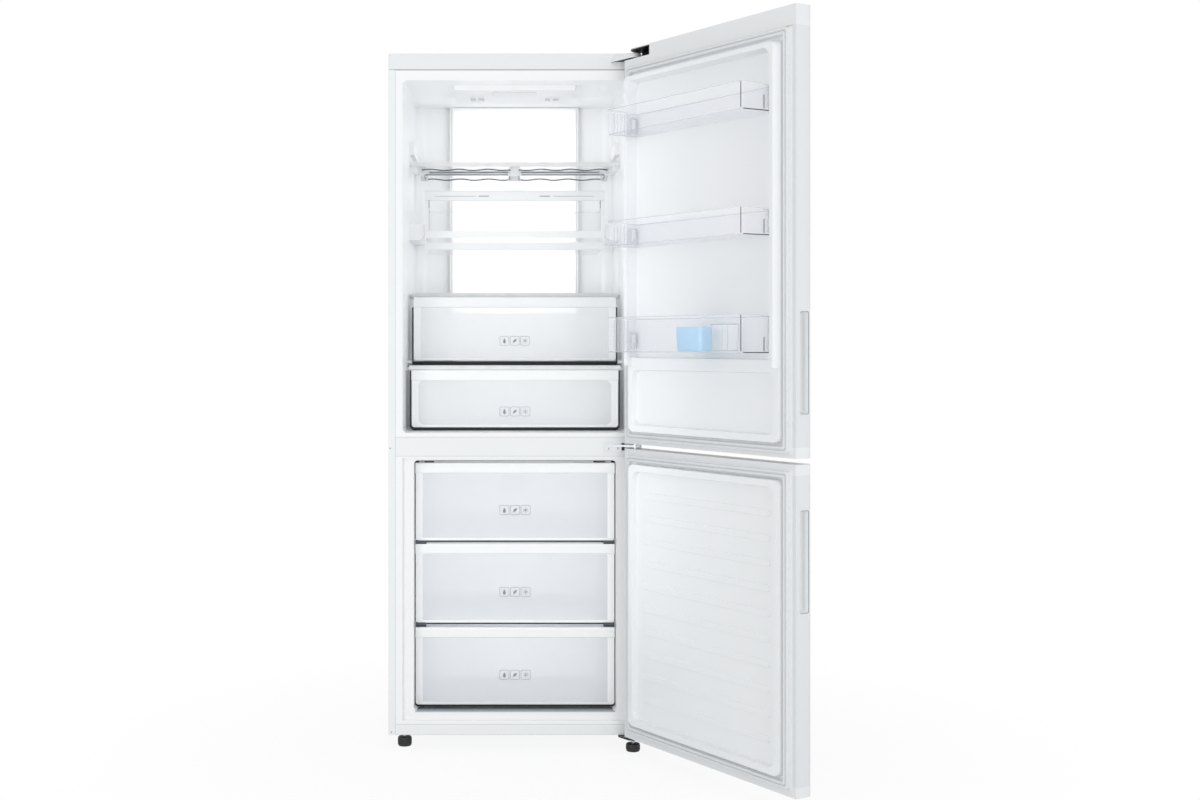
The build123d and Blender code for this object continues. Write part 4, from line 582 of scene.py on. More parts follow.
# The door seals' extruded vinyl: matt light grey.
SEAL = SoftRubber(
    "vinyl_door_seal", "#E6E8EA", 0.55, dust="#D5D8DB", mottle_mm=8.0, grain_depth_mm=0.01
)
# The seals' groove: the same vinyl, coloured a little darker as painted shade where less light
# reaches it.
SEAL_GROOVE_SHADE = SoftRubber(
    "vinyl_seal_groove_painted_shade", "#E3E6E9", 0.6, dust="#DADEE2", mottle_mm=6.0, grain_depth_mm=0.01
)
# Painted shade: near-black lines with a dull sheen along moulded edges in the dark of a gap.
EDGE_DARK = SoftRubber("edge_shadow_strip", "#23262B", 0.4, dust="#2F3338", mottle_mm=2.0)
# The screws' cross recesses: painted shade, dark and rough, on a solid cross.
RECESS_SHADE = SoftRubber("recess_painted_shade", "#3B3E43", 0.5, dust="#2B2D31", mottle_mm=0.5)
# Flat mid grey: screen-printed signs and scored lines, and painted shade in the grips'
# cups, along the deli drawer's posts, round the clear tray's rim and on the freezer's sill.
PRINT_AND_SHADE_GREY = SoftRubber("print_and_painted_shade_grey", "#8F969E", 0.5, dust="#878E96", mottle_mm=2.0)
# Flat black: painted shade in the gaps round and between the drawers, and their small stops and
# clips.
GAP_SHADE_AND_STOP_BLACK = SoftRubber("gap_shade_and_stop_black", "#14181D", 0.6, dust="#1C2127", mottle_mm=2.0)
# Matt light grey: the sealant in the joints, and painted shade in the gap behind the top
# cover, in the vent cover's groove and on the freezer's sill lip.
SEALANT_AND_SHADE_GREY = SoftRubber("sealant_and_painted_shade_grey", "#B4BAC0", 0.6, dust="#A9AFB6", mottle_mm=3.0)
# The compressor's feet and the cable's gland: matt black with dust on it.
BLACK_RUBBER = SoftRubber("moulded_black_rubber", "#1D1E20", 0.6)
# Rollers, feet and trays of moulded nylon: black with a waxy sheen. The same black paints
# the shade under the upper hinge's cover and inside the hinge's pocket.
BLACK_NYLON_AND_SHADE = SoftRubber("black_nylon_and_painted_shade", "#17181B", 0.42, dust="#2B2D30", mottle_mm=1.5)
# The freezer shelves' clips: slate grey and dull. The same grey paints a band of shade on
# the freezer's sill.
SLATE_PLASTIC_AND_SHADE = SoftRubber("slate_grey_plastic_and_painted_shade", "#4A515A", 0.5, dust="#3B424A", mottle_mm=2.0)
# Stoved enamel on the compressor and the lower hinge: black with a full gloss.
ENAMEL = SoftRubber("black_stoved_enamel", "#16171A", 0.25, dust="#202226", mottle_mm=12.0)
# The condenser's painted tube: dark grey, half matt.
COATED_TUBE = SoftRubber("coated_steel_tube", "#3A3D42", 0.4, dust="#2E3135")
# The poured insulation, where a gap or a hole shows it: yellowish and porous.
FOAM = RigidFoam("polyurethane_foam", "#DDD0A2", 0.8)

NODES_BY_FINISH: dict[Finish, tuple[str, ...]] = {
    WHITE_STEEL: ("outer_shell", "front_crossrails"),
    GALVANISED: ("back_panel", "base_plate", "machine_cover", "fan_motor"),
    FOAM: ("cabinet_foam", "upper_door_foam", "lower_door_foam"),
    LINER: ("fridge_liner", "freezer_liner", "evaporator_cover", "lamp_housing"),
    LENS: ("lamp_lens",),
    GLOSS_PANEL: ("air_duct_panel",),
    SATIN: ("air_duct_vent", "top_cover", "hinge_cover", "upper_door_caps", "lower_door_caps"),
    TRIM_CLEAR: ("shelf_trims",),
    DOOR_STEEL_SHADED: ("upper_door_skin", "lower_door_skin"),
    DOOR_LINER_SHADED: ("upper_door_liner", "lower_door_liner"),
    SEAL: ("upper_door_gasket", "lower_door_gasket"),
    GRIP_PAINTED_LIGHT: ("upper_door_grip", "lower_door_grip"),
    GLASS: ("upper_shelf", "middle_shelf", "lower_shelf", "freezer_shelves"),
    SLATE_PLASTIC_AND_SHADE: ("freezer_shelf_clips",),
    ALUMINIUM: ("evaporator",),
    BLACK_NYLON_AND_SHADE: ("evaporator_fan", "rear_rollers", "left_foot", "right_foot", "drip_tray"),
    ENAMEL: ("compressor", "lower_hinge"),
    BLACK_RUBBER: ("compressor_mounts", "mains_inlet"),
    COATED_TUBE: ("condenser_coil",),
    ZINC_PLATE: ("upper_hinge", "middle_hinge", "cabinet_screws"),
    CHROME_WIRE: ("wine_rack",),
    BIN_CLEAR: ("upper_bin", "middle_bin", "lower_bin", "clear_tray", "deli_drawer"),
    TRAY_BLUE: ("blue_tray",),
    HAZED_WINDOW: ("crisper_drawer", "chill_drawer"),
    FREEZER_WINDOW: ("top_freezer_drawer", "middle_freezer_drawer", "lowest_freezer_drawer"),
}


def dress_nodes() -> None:
    """Gives every CAD node its finish."""
    finishes = {name: finish for finish, names in NODES_BY_FINISH.items() for name in names}
    for name, part in frame["nodes"].items():
        part.data.materials.clear()
        part.data.materials.append(finishes[name].material())
    LOG.info("dressed %d CAD nodes", len(frame["nodes"]))


# ---------------------------------------------------------------- shapes
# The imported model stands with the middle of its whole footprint, open doors included, at
# the origin, which is this far to the right of the cabinet's own middle.
FOOTPRINT_MIDDLE_MM = 176.7825
# The doors turn about one upright line, and both stand open in the photograph.
PIVOT_MM = (326.5, -32.0)
DOOR_OPEN = math.radians(121.0)
CABINET_FRAME = Matrix.Scale(MM, 4) @ Matrix.Translation((-FOOTPRINT_MIDDLE_MM, 0.0, 0.0))
TO_PIVOT = Matrix.Translation((PIVOT_MM[0], PIVOT_MM[1], 0.0))
DOOR_FRAME = CABINET_FRAME @ TO_PIVOT @ Matrix.Rotation(DOOR_OPEN, 4, "Z") @ TO_PIVOT.inverted()
# The inner face of a shut door, which its seal and its liner's rim lie on.
DOOR_BACK_MM = -12.0


class Axis(Enum):
    """The axis that an outline is drawn across."""

    X = "x"
    Y = "y"
    Z = "z"

    def point(self, u: float, v: float, along: float) -> Point:
        """A point of an outline, at a distance along the axis."""
        places = {Axis.X: (along, u, v), Axis.Y: (u, along, v), Axis.Z: (u, v, along)}
        return places[self]


def rounded(
    half_u: float, half_v: float, corner: float, centre: Flat = (0.0, 0.0), steps: int = 6
) -> list[Flat]:
    """The outline of a rectangle with round corners.

    Args:
        half_u: half its width.
        half_v: half its height.
        corner: the corners' radius.
        centre: its middle.
        steps: how many straight pieces make a corner.

    Returns:
        Points that run counter-clockwise from the lower side's right end.
    """
    points = []
    for n, (side_u, side_v) in enumerate(((1, -1), (1, 1), (-1, 1), (-1, -1))):
        for step in range(steps + 1):
            turn = math.radians(90 * (n - 1 + step / steps))
            points.append(
                (
                    centre[0] + side_u * (half_u - corner) + corner * math.cos(turn),
                    centre[1] + side_v * (half_v - corner) + corner * math.sin(turn),
                )
            )
    return points


def quarter(steps: int) -> list[float]:
    """The angles of a quarter turn, from 0 to 90 degrees in even steps."""
    return [math.radians(90 * step / steps) for step in range(steps + 1)]


def circle(steps: int) -> list[float]:
    """The angles of a full turn in even steps, without the last, which is the first again."""
    return [2 * math.pi * step / steps for step in range(steps)]


@dataclass
class Mould:
    """Collects the faces of one piece, in millimetres in one of the object's own frames."""

    frame: Matrix
    finishes: tuple[Finish, ...]
    mesh: bmesh.types.BMesh = field(default_factory=bmesh.new)
    current: int = 0

    def use(self, finish: Finish) -> None:
        """Gives the faces that follow one of the mould's finishes."""
        self.current = self.finishes.index(finish)

    def ring(self, points: Iterable[Point]) -> list[bmesh.types.BMVert]:
        """New vertices at the given points."""
        return [self.mesh.verts.new(point) for point in points]

    def face(self, corners: Iterable[bmesh.types.BMVert]) -> None:
        """A face of the current finish."""
        self.mesh.faces.new(corners).material_index = self.current

    def bridge(
        self, rings: list[list[bmesh.types.BMVert]], closed: bool = False, around: bool = True
    ) -> None:
        """Joins neighbouring rings with four-sided faces.

        Args:
            rings: rows of vertices, all of one length.
            closed: whether the last row joins the first.
            around: whether each row closes on itself.
        """
        pairs = list(zip(rings, rings[1:]))
        if closed:
            pairs.append((rings[-1], rings[0]))
        for near, far in pairs:
            for i in range(len(near) if around else len(near) - 1):
                j = (i + 1) % len(near)
                self.face((near[i], near[j], far[j], far[i]))

    def prism(self, outline: Iterable[Flat], axis: Axis, start: float, end: float) -> None:
        """Draws an outline out along an axis and closes both ends.

        Args:
            outline: the outline's points.
            axis: the axis that it is drawn along.
            start: where it starts on the axis.
            end: where it ends.
        """
        outline = list(outline)
        rings = [
            self.ring(axis.point(u, v, along) for u, v in outline) for along in (start, end)
        ]
        self.bridge(rings)
        self.face(rings[0])
        self.face(rings[1])

    def block(self, xs: Flat, ys: Flat, zs: Flat) -> None:
        """A rectangular bar between the given ends."""
        corners = ((xs[0], ys[0]), (xs[1], ys[0]), (xs[1], ys[1]), (xs[0], ys[1]))
        self.prism(corners, Axis.Z, *zs)

    def side_block(self, side: int, across: Flat, ys: Flat, zs: Flat) -> None:
        """A bar on the left (-1) or the right (1), between two distances from the middle."""
        low, high = sorted(side * distance for distance in across)
        self.block((low, high), ys, zs)

    def plate(
        self, outer: list[Flat], inner: list[Flat], axis: Axis, start: float, end: float
    ) -> None:
        """Makes a flat ring between two outlines with the same number of points.

        Args:
            outer: the outer outline.
            inner: the inner outline.
            axis: the axis that the ring lies across.
            start: its first face's place on the axis.
            end: its second face's place.
        """
        rings = [
            self.ring(axis.point(u, v, along) for u, v in outline)
            for outline, along in ((outer, start), (inner, start), (inner, end), (outer, end))
        ]
        self.bridge(rings, closed=True)

    def lathe(
        self, profile: Iterable[Flat], centre: Point, axis: Axis = Axis.Z, steps: int = 48
    ) -> None:
        """Turns a profile about an axis.

        Args:
            profile: points of (radius, distance along the axis).
            centre: where the axis and a distance of 0 meet.
            axis: the axis.
            steps: how many straight pieces make the round.
        """
        rings = []
        for radius, along in profile:
            offsets = [
                axis.point(radius * math.cos(turn), radius * math.sin(turn), along)
                for turn in circle(steps)
            ]
            rings.append(self.ring(tuple(map(sum, zip(centre, offset))) for offset in offsets))
        self.bridge(rings)
        self.face(rings[0])
        self.face(rings[-1])

    def tube(self, path: list[Point], radius: float, sides: int = 10) -> None:
        """Makes a round bar along a path, closed at both ends.

        Args:
            path: the points of its middle line.
            radius: its radius.
            sides: how many flat sides make its round.
        """
        places = [Vector(point) for point in path]
        side = None
        rings = []
        for n, place in enumerate(places):
            ahead = places[min(n + 1, len(places) - 1)] - places[max(n - 1, 0)]
            ahead.normalize()
            if side is None:
                side = ahead.orthogonal().normalized()
            side = (side - ahead * side.dot(ahead)).normalized()
            other = ahead.cross(side)
            rings.append(
                self.ring(
                    place + radius * (side * math.cos(turn) + other * math.sin(turn))
                    for turn in circle(sides)
                )
            )
        self.bridge(rings)
        self.face(rings[0])
        self.face(rings[-1])

    def hoop(self, path: list[Point], radius: float, sides: int = 6) -> None:
        """A round bar along a path that comes back to its start."""
        self.tube(path + path[:1], radius, sides)

    def piece(
        self,
        name: str,
        body: str,
        replaces: tuple[str, ...] = (),
        slot: str | None = None,
        bevel_mm: float = 0.0,
        sharp: float = 35.0,
    ) -> bpy.types.Object:
        """Makes the object, with its materials, soft edges and place on a body.

        Args:
            name: the object's name.
            body: the CAD body that it moves with.
            replaces: the CAD nodes that it stands for.
            slot: the record's material slot; not used.
            bevel_mm: the width of the softened edges.
            sharp: the angle in degrees from which an edge stays sharp.

        Returns:
            The finished object.
        """
        bmesh.ops.recalc_face_normals(self.mesh, faces=self.mesh.faces)
        self.mesh.transform(self.frame)
        data = bpy.data.meshes.new(name)
        self.mesh.to_mesh(data)
        self.mesh.free()
        for finish in self.finishes:
            data.materials.append(finish.material())
        data.shade_smooth()
        data.set_sharp_from_angle(angle=math.radians(sharp))
        made = bpy.data.objects.new(name, data)
        bpy.context.scene.collection.objects.link(made)
        if bevel_mm:
            soft = made.modifiers.new("soft_edges", "BEVEL")
            soft.width = bevel_mm * MM
            soft.segments = 2
            soft.limit_method = "ANGLE"
            soft.angle_limit = math.radians(sharp)
            soft.harden_normals = True
        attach(made, body)
        if replaces:
            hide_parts(*replaces)
        LOG.info("made %s, %d faces", name, len(data.polygons))
        return made


# ---------------------------------------------------------------- refrigerator interior
@dataclass
class WineRack:
    """Two chromed panels of round wire under the upper shelf, with cradles for the bottles."""

    front_level: float = 1615.5
    back_level: float = 1608.0
    inner: float = 14.0
    span: float = 268.0
    front: float = 246.0
    back: float = 446.0
    wire: float = 1.9
    thin_wire: float = 0.85 * 1.9
    overhang: float = 1.5
    cradles: int = 3
    rise: float = 1.9
    points_per_cradle: int = 18

    def level(self, y: float) -> float:
        """The panels' height at a depth; they fall a little towards the back."""
        share = (y - self.front) / (self.back - self.front)
        return self.front_level + (self.back_level - self.front_level) * share

    def wave(self, side: int, y: float) -> list[Point]:
        """A wire that dips once for each bottle.

        Args:
            side: -1 for the left panel and 1 for the right one.
            y: the wire's depth.

        Returns:
            The wire's middle line.
        """
        count = self.points_per_cradle * self.cradles
        points = []
        for n in range(count + 1):
            share = n / count
            x = self.inner + (self.span - self.inner) * share
            z = self.level(y) - self.rise * math.sin(2 * math.pi * self.cradles * share)
            points.append((side * x, y, z))
        return points

    def build(self) -> None:
        """Makes both panels as one piece."""
        mould = Mould(CABINET_FRAME, (CHROME_WIRE,))
        middle = (self.front + self.back) / 2
        ends = (self.front - self.overhang, self.back + self.overhang)
        for side in (-1, 1):
            for y in (self.front, self.back):
                mould.tube(self.wave(side, y), self.wire)
            for x in (self.inner, self.span):
                mould.tube([(side * x, end, self.level(end)) for end in ends], self.wire)
            level = self.level(middle)
            mould.tube([(side * x, middle, level) for x in (self.inner, self.span)], self.thin_wire)
        mould.piece("wine_rack_wires", "cabinet", ("wine_rack",), "chromed_wire")


@dataclass(kw_only=True)
class Drawer:
    """A clear drawer: a tub of thin sheet behind a front with frosted borders and a hooked handle.

    The hook is the handle's section, as points of (distance behind the front's face,
    distance under its top). The haze is the share of the front's height up to which a grey
    band of painted shade darkens the window, with a narrower band down each side.
    """

    name: str
    half: float
    low: float
    high: float
    front: float
    length: float
    window: Finish
    bead_finish: Finish = RIM_CLEAR

    plate: float = 4.0
    plate_corner: float = 7.0
    window_depth: float = 1.2
    side_border: float = 19.0
    top_border: float = 30.0
    low_border: float = 7.0
    window_corner: float = 4.0

    side_step: float = 12.0
    rim_drop: float = 16.0
    back_drop: float = 26.0
    back_slope: Flat = (44.0, 38.0)
    round_back: float = 22.0
    round_low: float = 7.0
    bead: float = 1.6
    bead_depth: float = 1.5

    hook: tuple[Flat, ...] = (
        (-3.6, 7.0),
        (-3.7, 3.5),
        (-2.2, 1.0),
        (0.0, 0.5),
        (14.0, 0.5),
        (15.0, 1.5),
        (15.0, 7.0),
        (12.5, 7.0),
        (12.5, 3.0),
        (2.0, 3.0),
    )
    hook_overhang: float = 0.8

    haze: float = 0.0
    shade_band_width: float = 30.0
    shade_band_depths: tuple[Flat, Flat] = ((5.0, 5.6), (6.4, 7.0))
    sign_level: float = 0.0

    def tub_path(self, inset: float) -> list[Point]:
        """The tub's plan from its front left to its front right.

        Args:
            inset: how far inside the wall the line runs.

        Returns:
            Points of (x, y, the wall's top there); the top drops near the back.
        """
        half = self.half - self.side_step - inset
        back = self.front + self.length - inset
        rim = self.high - self.rim_drop
        dropped = rim - self.back_drop
        slope_start, slope_end = (back - distance for distance in self.back_slope)
        curve = self.round_back - inset
        side = [
            (half, self.front + self.plate, rim),
            (half, slope_start, rim),
            (half, slope_end, dropped),
        ]
        for turn in quarter(6):
            x = half - curve + curve * math.cos(turn)
            y = back - curve + curve * math.sin(turn)
            side.append((x, y, dropped))
        return [(-x, y, z) for x, y, z in side] + side[::-1]

    def tub(self, mould: Mould) -> None:
        """Adds the tub's thin walls, its floor with a round edge, and a bead along the rim.

        Args:
            mould: the drawer's mould.
        """
        mould.use(self.window)
        rows = [self.tub_path(0.0)]
        for turn in quarter(4):
            inset = self.round_low * (1 - math.cos(turn))
            height = self.low + self.round_low * (1 - math.sin(turn))
            rows.append([(x, y, height) for x, y, _ in self.tub_path(inset)])
        rings = [mould.ring(row) for row in rows]
        mould.bridge(rings, around=False)
        mould.face(rings[-1])
        mould.use(self.bead_finish)
        outside = self.tub_path(-0.2)
        mould.tube([(x, y, top - self.bead_depth) for x, y, top in outside], self.bead, 6)

    def face_plate(self, mould: Mould) -> None:
        """Adds the front: a frosted border with round corners, round a clear window.

        Args:
            mould: the drawer's mould.
        """
        middle = (self.low + self.high) / 2
        outer = rounded(self.half, (self.high - self.low) / 2, self.plate_corner, (0.0, middle))
        window_low = self.low + self.low_border
        window_high = self.high - self.top_border
        inner = rounded(
            self.half - self.side_border,
            (window_high - window_low) / 2,
            self.window_corner,
            (0.0, (window_low + window_high) / 2),
        )
        mould.use(FROSTED)
        mould.plate(outer, inner, Axis.Y, self.front, self.front + self.plate)
        mould.use(self.window)
        mould.face(mould.ring((u, self.front + self.window_depth, v) for u, v in inner))

    def handle(self, mould: Mould) -> None:
        """Adds the handle, drawn out along the top of the front.

        Args:
            mould: the drawer's mould.
        """
        root = self.high - self.top_border
        profile = [(self.front + 0.5, root), (self.front - 2, root + 2)]
        profile += [(self.front + behind, self.high - under) for behind, under in self.hook]
        reach = self.half + self.hook_overhang
        mould.use(FROSTED)
        mould.prism(profile, Axis.X, -reach, reach)

    def details(self, mould: Mould) -> None:
        """Adds grey bands of painted shade behind the window: one across its lower part, one down
        each side.

        Args:
            mould: the drawer's mould.
        """
        if not self.haze:
            return
        # Painted shade: a grey band across the window's lower part and one down each side.
        mould.use(TUB_SHADE_BANDS)
        edge = self.half - self.side_border - 1
        low = self.low + self.low_border + 1
        foot = self.low + (self.high - self.low) * self.haze
        shade_band_ys, side_shade_ys = (
            (self.front + start, self.front + end) for start, end in self.shade_band_depths
        )
        mould.block((-edge, edge), shade_band_ys, (low, foot))
        for side in (-1, 1):
            across = (edge - self.shade_band_width, edge)
            mould.side_block(side, across, side_shade_ys, (low, self.high - self.top_border))

    def build(self) -> None:
        """Makes the drawer, and its signs where it has them."""
        finishes = (FROSTED, self.window, RIM_CLEAR, EDGE_DARK, PRINT_AND_SHADE_GREY, TUB_SHADE_BANDS)
        mould = Mould(CABINET_FRAME, finishes)
        self.tub(mould)
        self.face_plate(mould)
        self.handle(mould)
        self.details(mould)
        mould.piece(self.name + "_moulding", self.name, (self.name,), "clear_plastic", bevel_mm=0.5)
        if self.sign_level:
            FoodSigns(self.name, self.front, self.sign_level).build()


@dataclass(kw_only=True)
class DeliDrawer(Drawer):
    """The shallow drawer under the rack: its front is open between two bars and two posts.

    A bar is (lower edge, upper edge, how far it stands out), with both edges above the
    drawer's foot. The slots are the middles of two dark slots in the top bar.
    """

    bars: tuple[Point, ...] = ((2.0, 19.0, 2.0), (35.0, 55.0, 0.8))
    post: Flat = (12.0, 1.0)
    post_foot: float = 56.0
    slots: Flat = (-89.0, 87.0)
    slot_half: float = 15.0
    slot_levels: Flat = (17.8, 15.4)
    score: Flat = (30.0, 148.0)
    score_levels: Flat = (17.3, 16.3)
    print_depths: Flat = (3.7, 3.0)

    def details(self, mould: Mould) -> None:
        """Adds the bars, the posts, and the lines and slots of the top bar.

        Args:
            mould: the drawer's mould.
        """
        mould.use(FROSTED)
        for bar_low, bar_high, rise in self.bars:
            mould.block(
                (-self.half + 1, self.half - 1),
                (self.front - rise, self.front + 1),
                (self.low + bar_low, self.low + bar_high),
            )
        print_ys = (self.front - self.print_depths[0], self.front - self.print_depths[1])
        for side in (-1, 1):
            self.post_and_line(mould, side, print_ys)
        mould.use(PRINT_AND_SHADE_GREY)
        levels = (self.high - self.slot_levels[0], self.high - self.slot_levels[1])
        for centre in self.slots:
            mould.block((centre - self.slot_half, centre + self.slot_half), print_ys, levels)

    def post_and_line(self, mould: Mould, side: int, print_ys: Flat) -> None:
        """Adds one side's post, the scored line above it, and lines of painted shade down the post's
        inner edge.

        Args:
            mould: the drawer's mould.
            side: -1 for the left and 1 for the right.
            print_ys: the depths between which the scored line lies.
        """
        foot, head = self.low + self.post_foot, self.high - self.top_border - 1
        across = (self.half - self.post[0], self.half - self.post[1])
        mould.use(FROSTED)
        mould.side_block(side, across, (self.front - 0.8, self.front + 1), (foot, head))
        mould.use(PRINT_AND_SHADE_GREY)
        across = (self.half - self.score[0], self.half - self.score[1])
        levels = (self.high - self.score_levels[0], self.high - self.score_levels[1])
        mould.side_block(side, across, print_ys, levels)
        # Lines of painted shade down the post's inner edge: grey below, near-black above.
        x = side * (self.half - self.post[0] - 0.4)
        y = self.front - 0.4
        mould.tube([(x, y, foot + 2), (x, y, head - 21)], 0.5, 6)
        mould.use(EDGE_DARK)
        y = self.front - 1
        mould.tube([(x, y, head - 20), (x, y, head + 11)], 0.9, 6)


@dataclass(kw_only=True)
class FreezerDrawer(Drawer):
    """A freezer drawer: all three have the same front and differ in height and length."""

    half: float = 275.5
    front: float = 50.0
    window: Finish = FREEZER_WINDOW
    haze: float = 0.36


@dataclass
class FoodSigns:
    """Three plain food signs, printed in grey at the middle of a drawer's front."""

    drawer: str
    front: float
    level: float
    pitch: float = 29.5
    depths: Flat = (0.75, 1.05)
    frame_half: Flat = (13.4, 12.3)
    frame_corner: Flat = (4.5, 3.6)
    half_width: float = 5.5
    half_height: float = 7.5
    leaf_half: float = 3.6
    stalk: tuple[Flat, ...] = ((-6.6, -7.4), (-5.9, -8.0), (-4.2, -6.2), (-4.9, -5.6))
    bar_half: float = 0.6

    def build(self) -> None:
        """Makes the three signs in their frames as one piece."""
        mould = Mould(CABINET_FRAME, (PRINT_AND_SHADE_GREY,))
        ys = (self.front + self.depths[0], self.front + self.depths[1])
        for n, sign in enumerate((self.drop, self.leaf, self.crystal)):
            centre = ((n - 1) * self.pitch, self.level)
            outer, inner = (
                rounded(half, half, corner, centre)
                for half, corner in zip(self.frame_half, self.frame_corner)
            )
            mould.plate(outer, inner, Axis.Y, *ys)
            for outline in sign():
                mould.prism([(centre[0] + u, centre[1] + v) for u, v in outline], Axis.Y, *ys)
        mould.piece(self.drawer + "_signs", self.drawer, (), "grey_white_plastic")

    def drop(self) -> list[list[Flat]]:
        """A water drop, round below and drawn out to a point above.

        Returns:
            Its outline, about its own middle.
        """
        points = []
        for turn in circle(24):
            taper = ((1 - math.sin(turn)) / 2) ** 0.6
            points.append(
                (self.half_width * math.cos(turn) * taper, self.half_height * math.sin(turn))
            )
        return [points]

    def leaf(self) -> list[list[Flat]]:
        """A leaf that leans to the right on a short stalk.

        Returns:
            The outlines of its blade and its stalk, about the leaf's own middle.
        """
        blade = []
        lean = 0.7
        for turn in circle(20):
            along = self.half_height * math.cos(turn)
            across = self.leaf_half * math.sin(turn) * abs(math.sin(turn))
            blade.append((lean * (along - across), lean * (along + across)))
        return [blade, list(self.stalk)]

    def crystal(self) -> list[list[Flat]]:
        """An ice crystal of three crossed bars.

        Returns:
            The bars' outlines, about the crystal's own middle.
        """
        bars = []
        long, thin = self.half_height, self.bar_half
        for turn in (math.radians(90 + 60 * n) for n in range(3)):
            c, d = math.cos(turn), math.sin(turn)
            corners = ((-long, -thin), (long, -thin), (long, thin), (-long, thin))
            bars.append([(a * c - b * d, a * d + b * c) for a, b in corners])
        return bars


@dataclass
class GapShadeAndStops:
    """Flat dark strips that paint the shade in the gaps round and between the drawers' fronts.

    A cradle runs round each of the fridge's two lower drawers. Posts stand beside the
    freezer's drawers, bars lie under its panes and above and below its drawers, and stops
    and clips fill the corners.
    """

    line: float = 3.6
    thickness: float = 1.5
    chill_half: float = 295.5
    chill_span: Flat = (867.6, 1036.0)
    chill_front: float = 115.0
    crisper_half: float = 293.5
    crisper_span: Flat = (1050.6, 1216.0)
    crisper_front: float = 185.0

    posts: Flat = (266.5, 278.5)
    post_ys: Flat = (56.0, 58.0)
    post_spans: tuple[Flat, ...] = ((104.0, 324.0), (342.5, 556.0), (570.5, 790.0))
    pane_half: float = 246.0
    pane_ys: Flat = (53.2, 53.9)
    pane_tops: Flat = (337.7, 565.7)
    pane_under: Flat = (-4.2, 0.1)
    head_bar: Box = ((-266.5, 266.5), (66.5, 68.0), (785.5, 790.5))
    foot_bar: Box = ((-266.0, 266.0), (52.0, 53.0), (103.8, 110.8))
    stop_spans: tuple[Flat, ...] = ((-251.0, -225.0), (218.0, 249.0))
    stop_ys: Flat = (50.0, 58.0)
    stop_levels: Flat = (782.6, 790.6)
    clip_spans: tuple[Flat, ...] = ((-275.0, -246.0), (245.0, 275.0))
    clip_ys: Flat = (47.4, 49.4)
    clip_levels: tuple[Flat, ...] = ((555.5, 562.5), (327.5, 338.5))

    sill_half: float = 276.0
    sill_edges: tuple[float, ...] = (49.5, 40.0, 26.0, 9.0)
    sill_levels: Flat = (103.1, 103.6)
    sill_lip: Box = ((-274.0, 274.0), (8.3, 8.6), (99.4, 103.0))

    def cradle(
        self, mould: Mould, half: float, span: Flat, corner: float, low: float, y: float
    ) -> None:
        """Adds a strip down both sides and along the bottom, with round lower corners.

        Args:
            mould: the piece that gets it.
            half: half the outer width.
            span: the lowest and the highest level.
            corner: the radius of the outer lower corners.
            low: the height of the bottom strip.
            y: the front face's depth.
        """
        inner = half - self.line
        small = max(corner - self.line, 2.0)
        outer_line, inner_line = [(half, span[1])], [(inner, span[1])]
        for turn in quarter(8):
            c, d = math.cos(turn), math.sin(turn)
            outer_line.append((half - corner + corner * c, span[0] + corner - corner * d))
            inner_line.append((inner - small + small * c, span[0] + low + small - small * d))
        outer_row, inner_row = (
            line + [(-x, z) for x, z in reversed(line)] for line in (outer_line, inner_line)
        )
        back = y + self.thickness
        rings = [
            mould.ring((x, depth, z) for x, z in row)
            for row, depth in ((outer_row, y), (inner_row, y), (inner_row, back), (outer_row, back))
        ]
        mould.bridge(rings, closed=True, around=False)

    def sill(self, mould: Mould) -> None:
        """Adds the shade on the freezer's sill, in bands that pale from the drawer to the lip.

        Args:
            mould: the piece that gets it.
        """
        bands = zip((GAP_SHADE_AND_STOP_BLACK, SLATE_PLASTIC_AND_SHADE, PRINT_AND_SHADE_GREY), self.sill_edges, self.sill_edges[1:])
        for tone, back, front in bands:
            mould.use(tone)
            mould.block((-self.sill_half, self.sill_half), (front, back), self.sill_levels)
        mould.use(SEALANT_AND_SHADE_GREY)
        mould.block(*self.sill_lip)

    def build(self) -> None:
        """Makes all the strips of painted shade, the stops and the clips as one piece."""
        mould = Mould(CABINET_FRAME, (GAP_SHADE_AND_STOP_BLACK, SLATE_PLASTIC_AND_SHADE, PRINT_AND_SHADE_GREY, SEALANT_AND_SHADE_GREY))
        for levels in self.post_spans:
            for side in (-1, 1):
                mould.side_block(side, self.posts, self.post_ys, levels)
        for top in self.pane_tops:
            levels = (top + self.pane_under[0], top + self.pane_under[1])
            mould.block((-self.pane_half, self.pane_half), self.pane_ys, levels)
        mould.block(*self.head_bar)
        mould.block(*self.foot_bar)
        for xs in self.stop_spans:
            mould.block(xs, self.stop_ys, self.stop_levels)
        for levels in self.clip_levels:
            for xs in self.clip_spans:
                mould.block(xs, self.clip_ys, levels)
        self.sill(mould)
        mould.use(GAP_SHADE_AND_STOP_BLACK)
        self.cradle(mould, self.chill_half, self.chill_span, 14.0, 8.0, self.chill_front)
        self.cradle(mould, self.crisper_half, self.crisper_span, 4.0, 11.0, self.crisper_front)
        mould.piece("drawer_gap_shade_and_stops", "cabinet", (), "dark_grey_plastic")


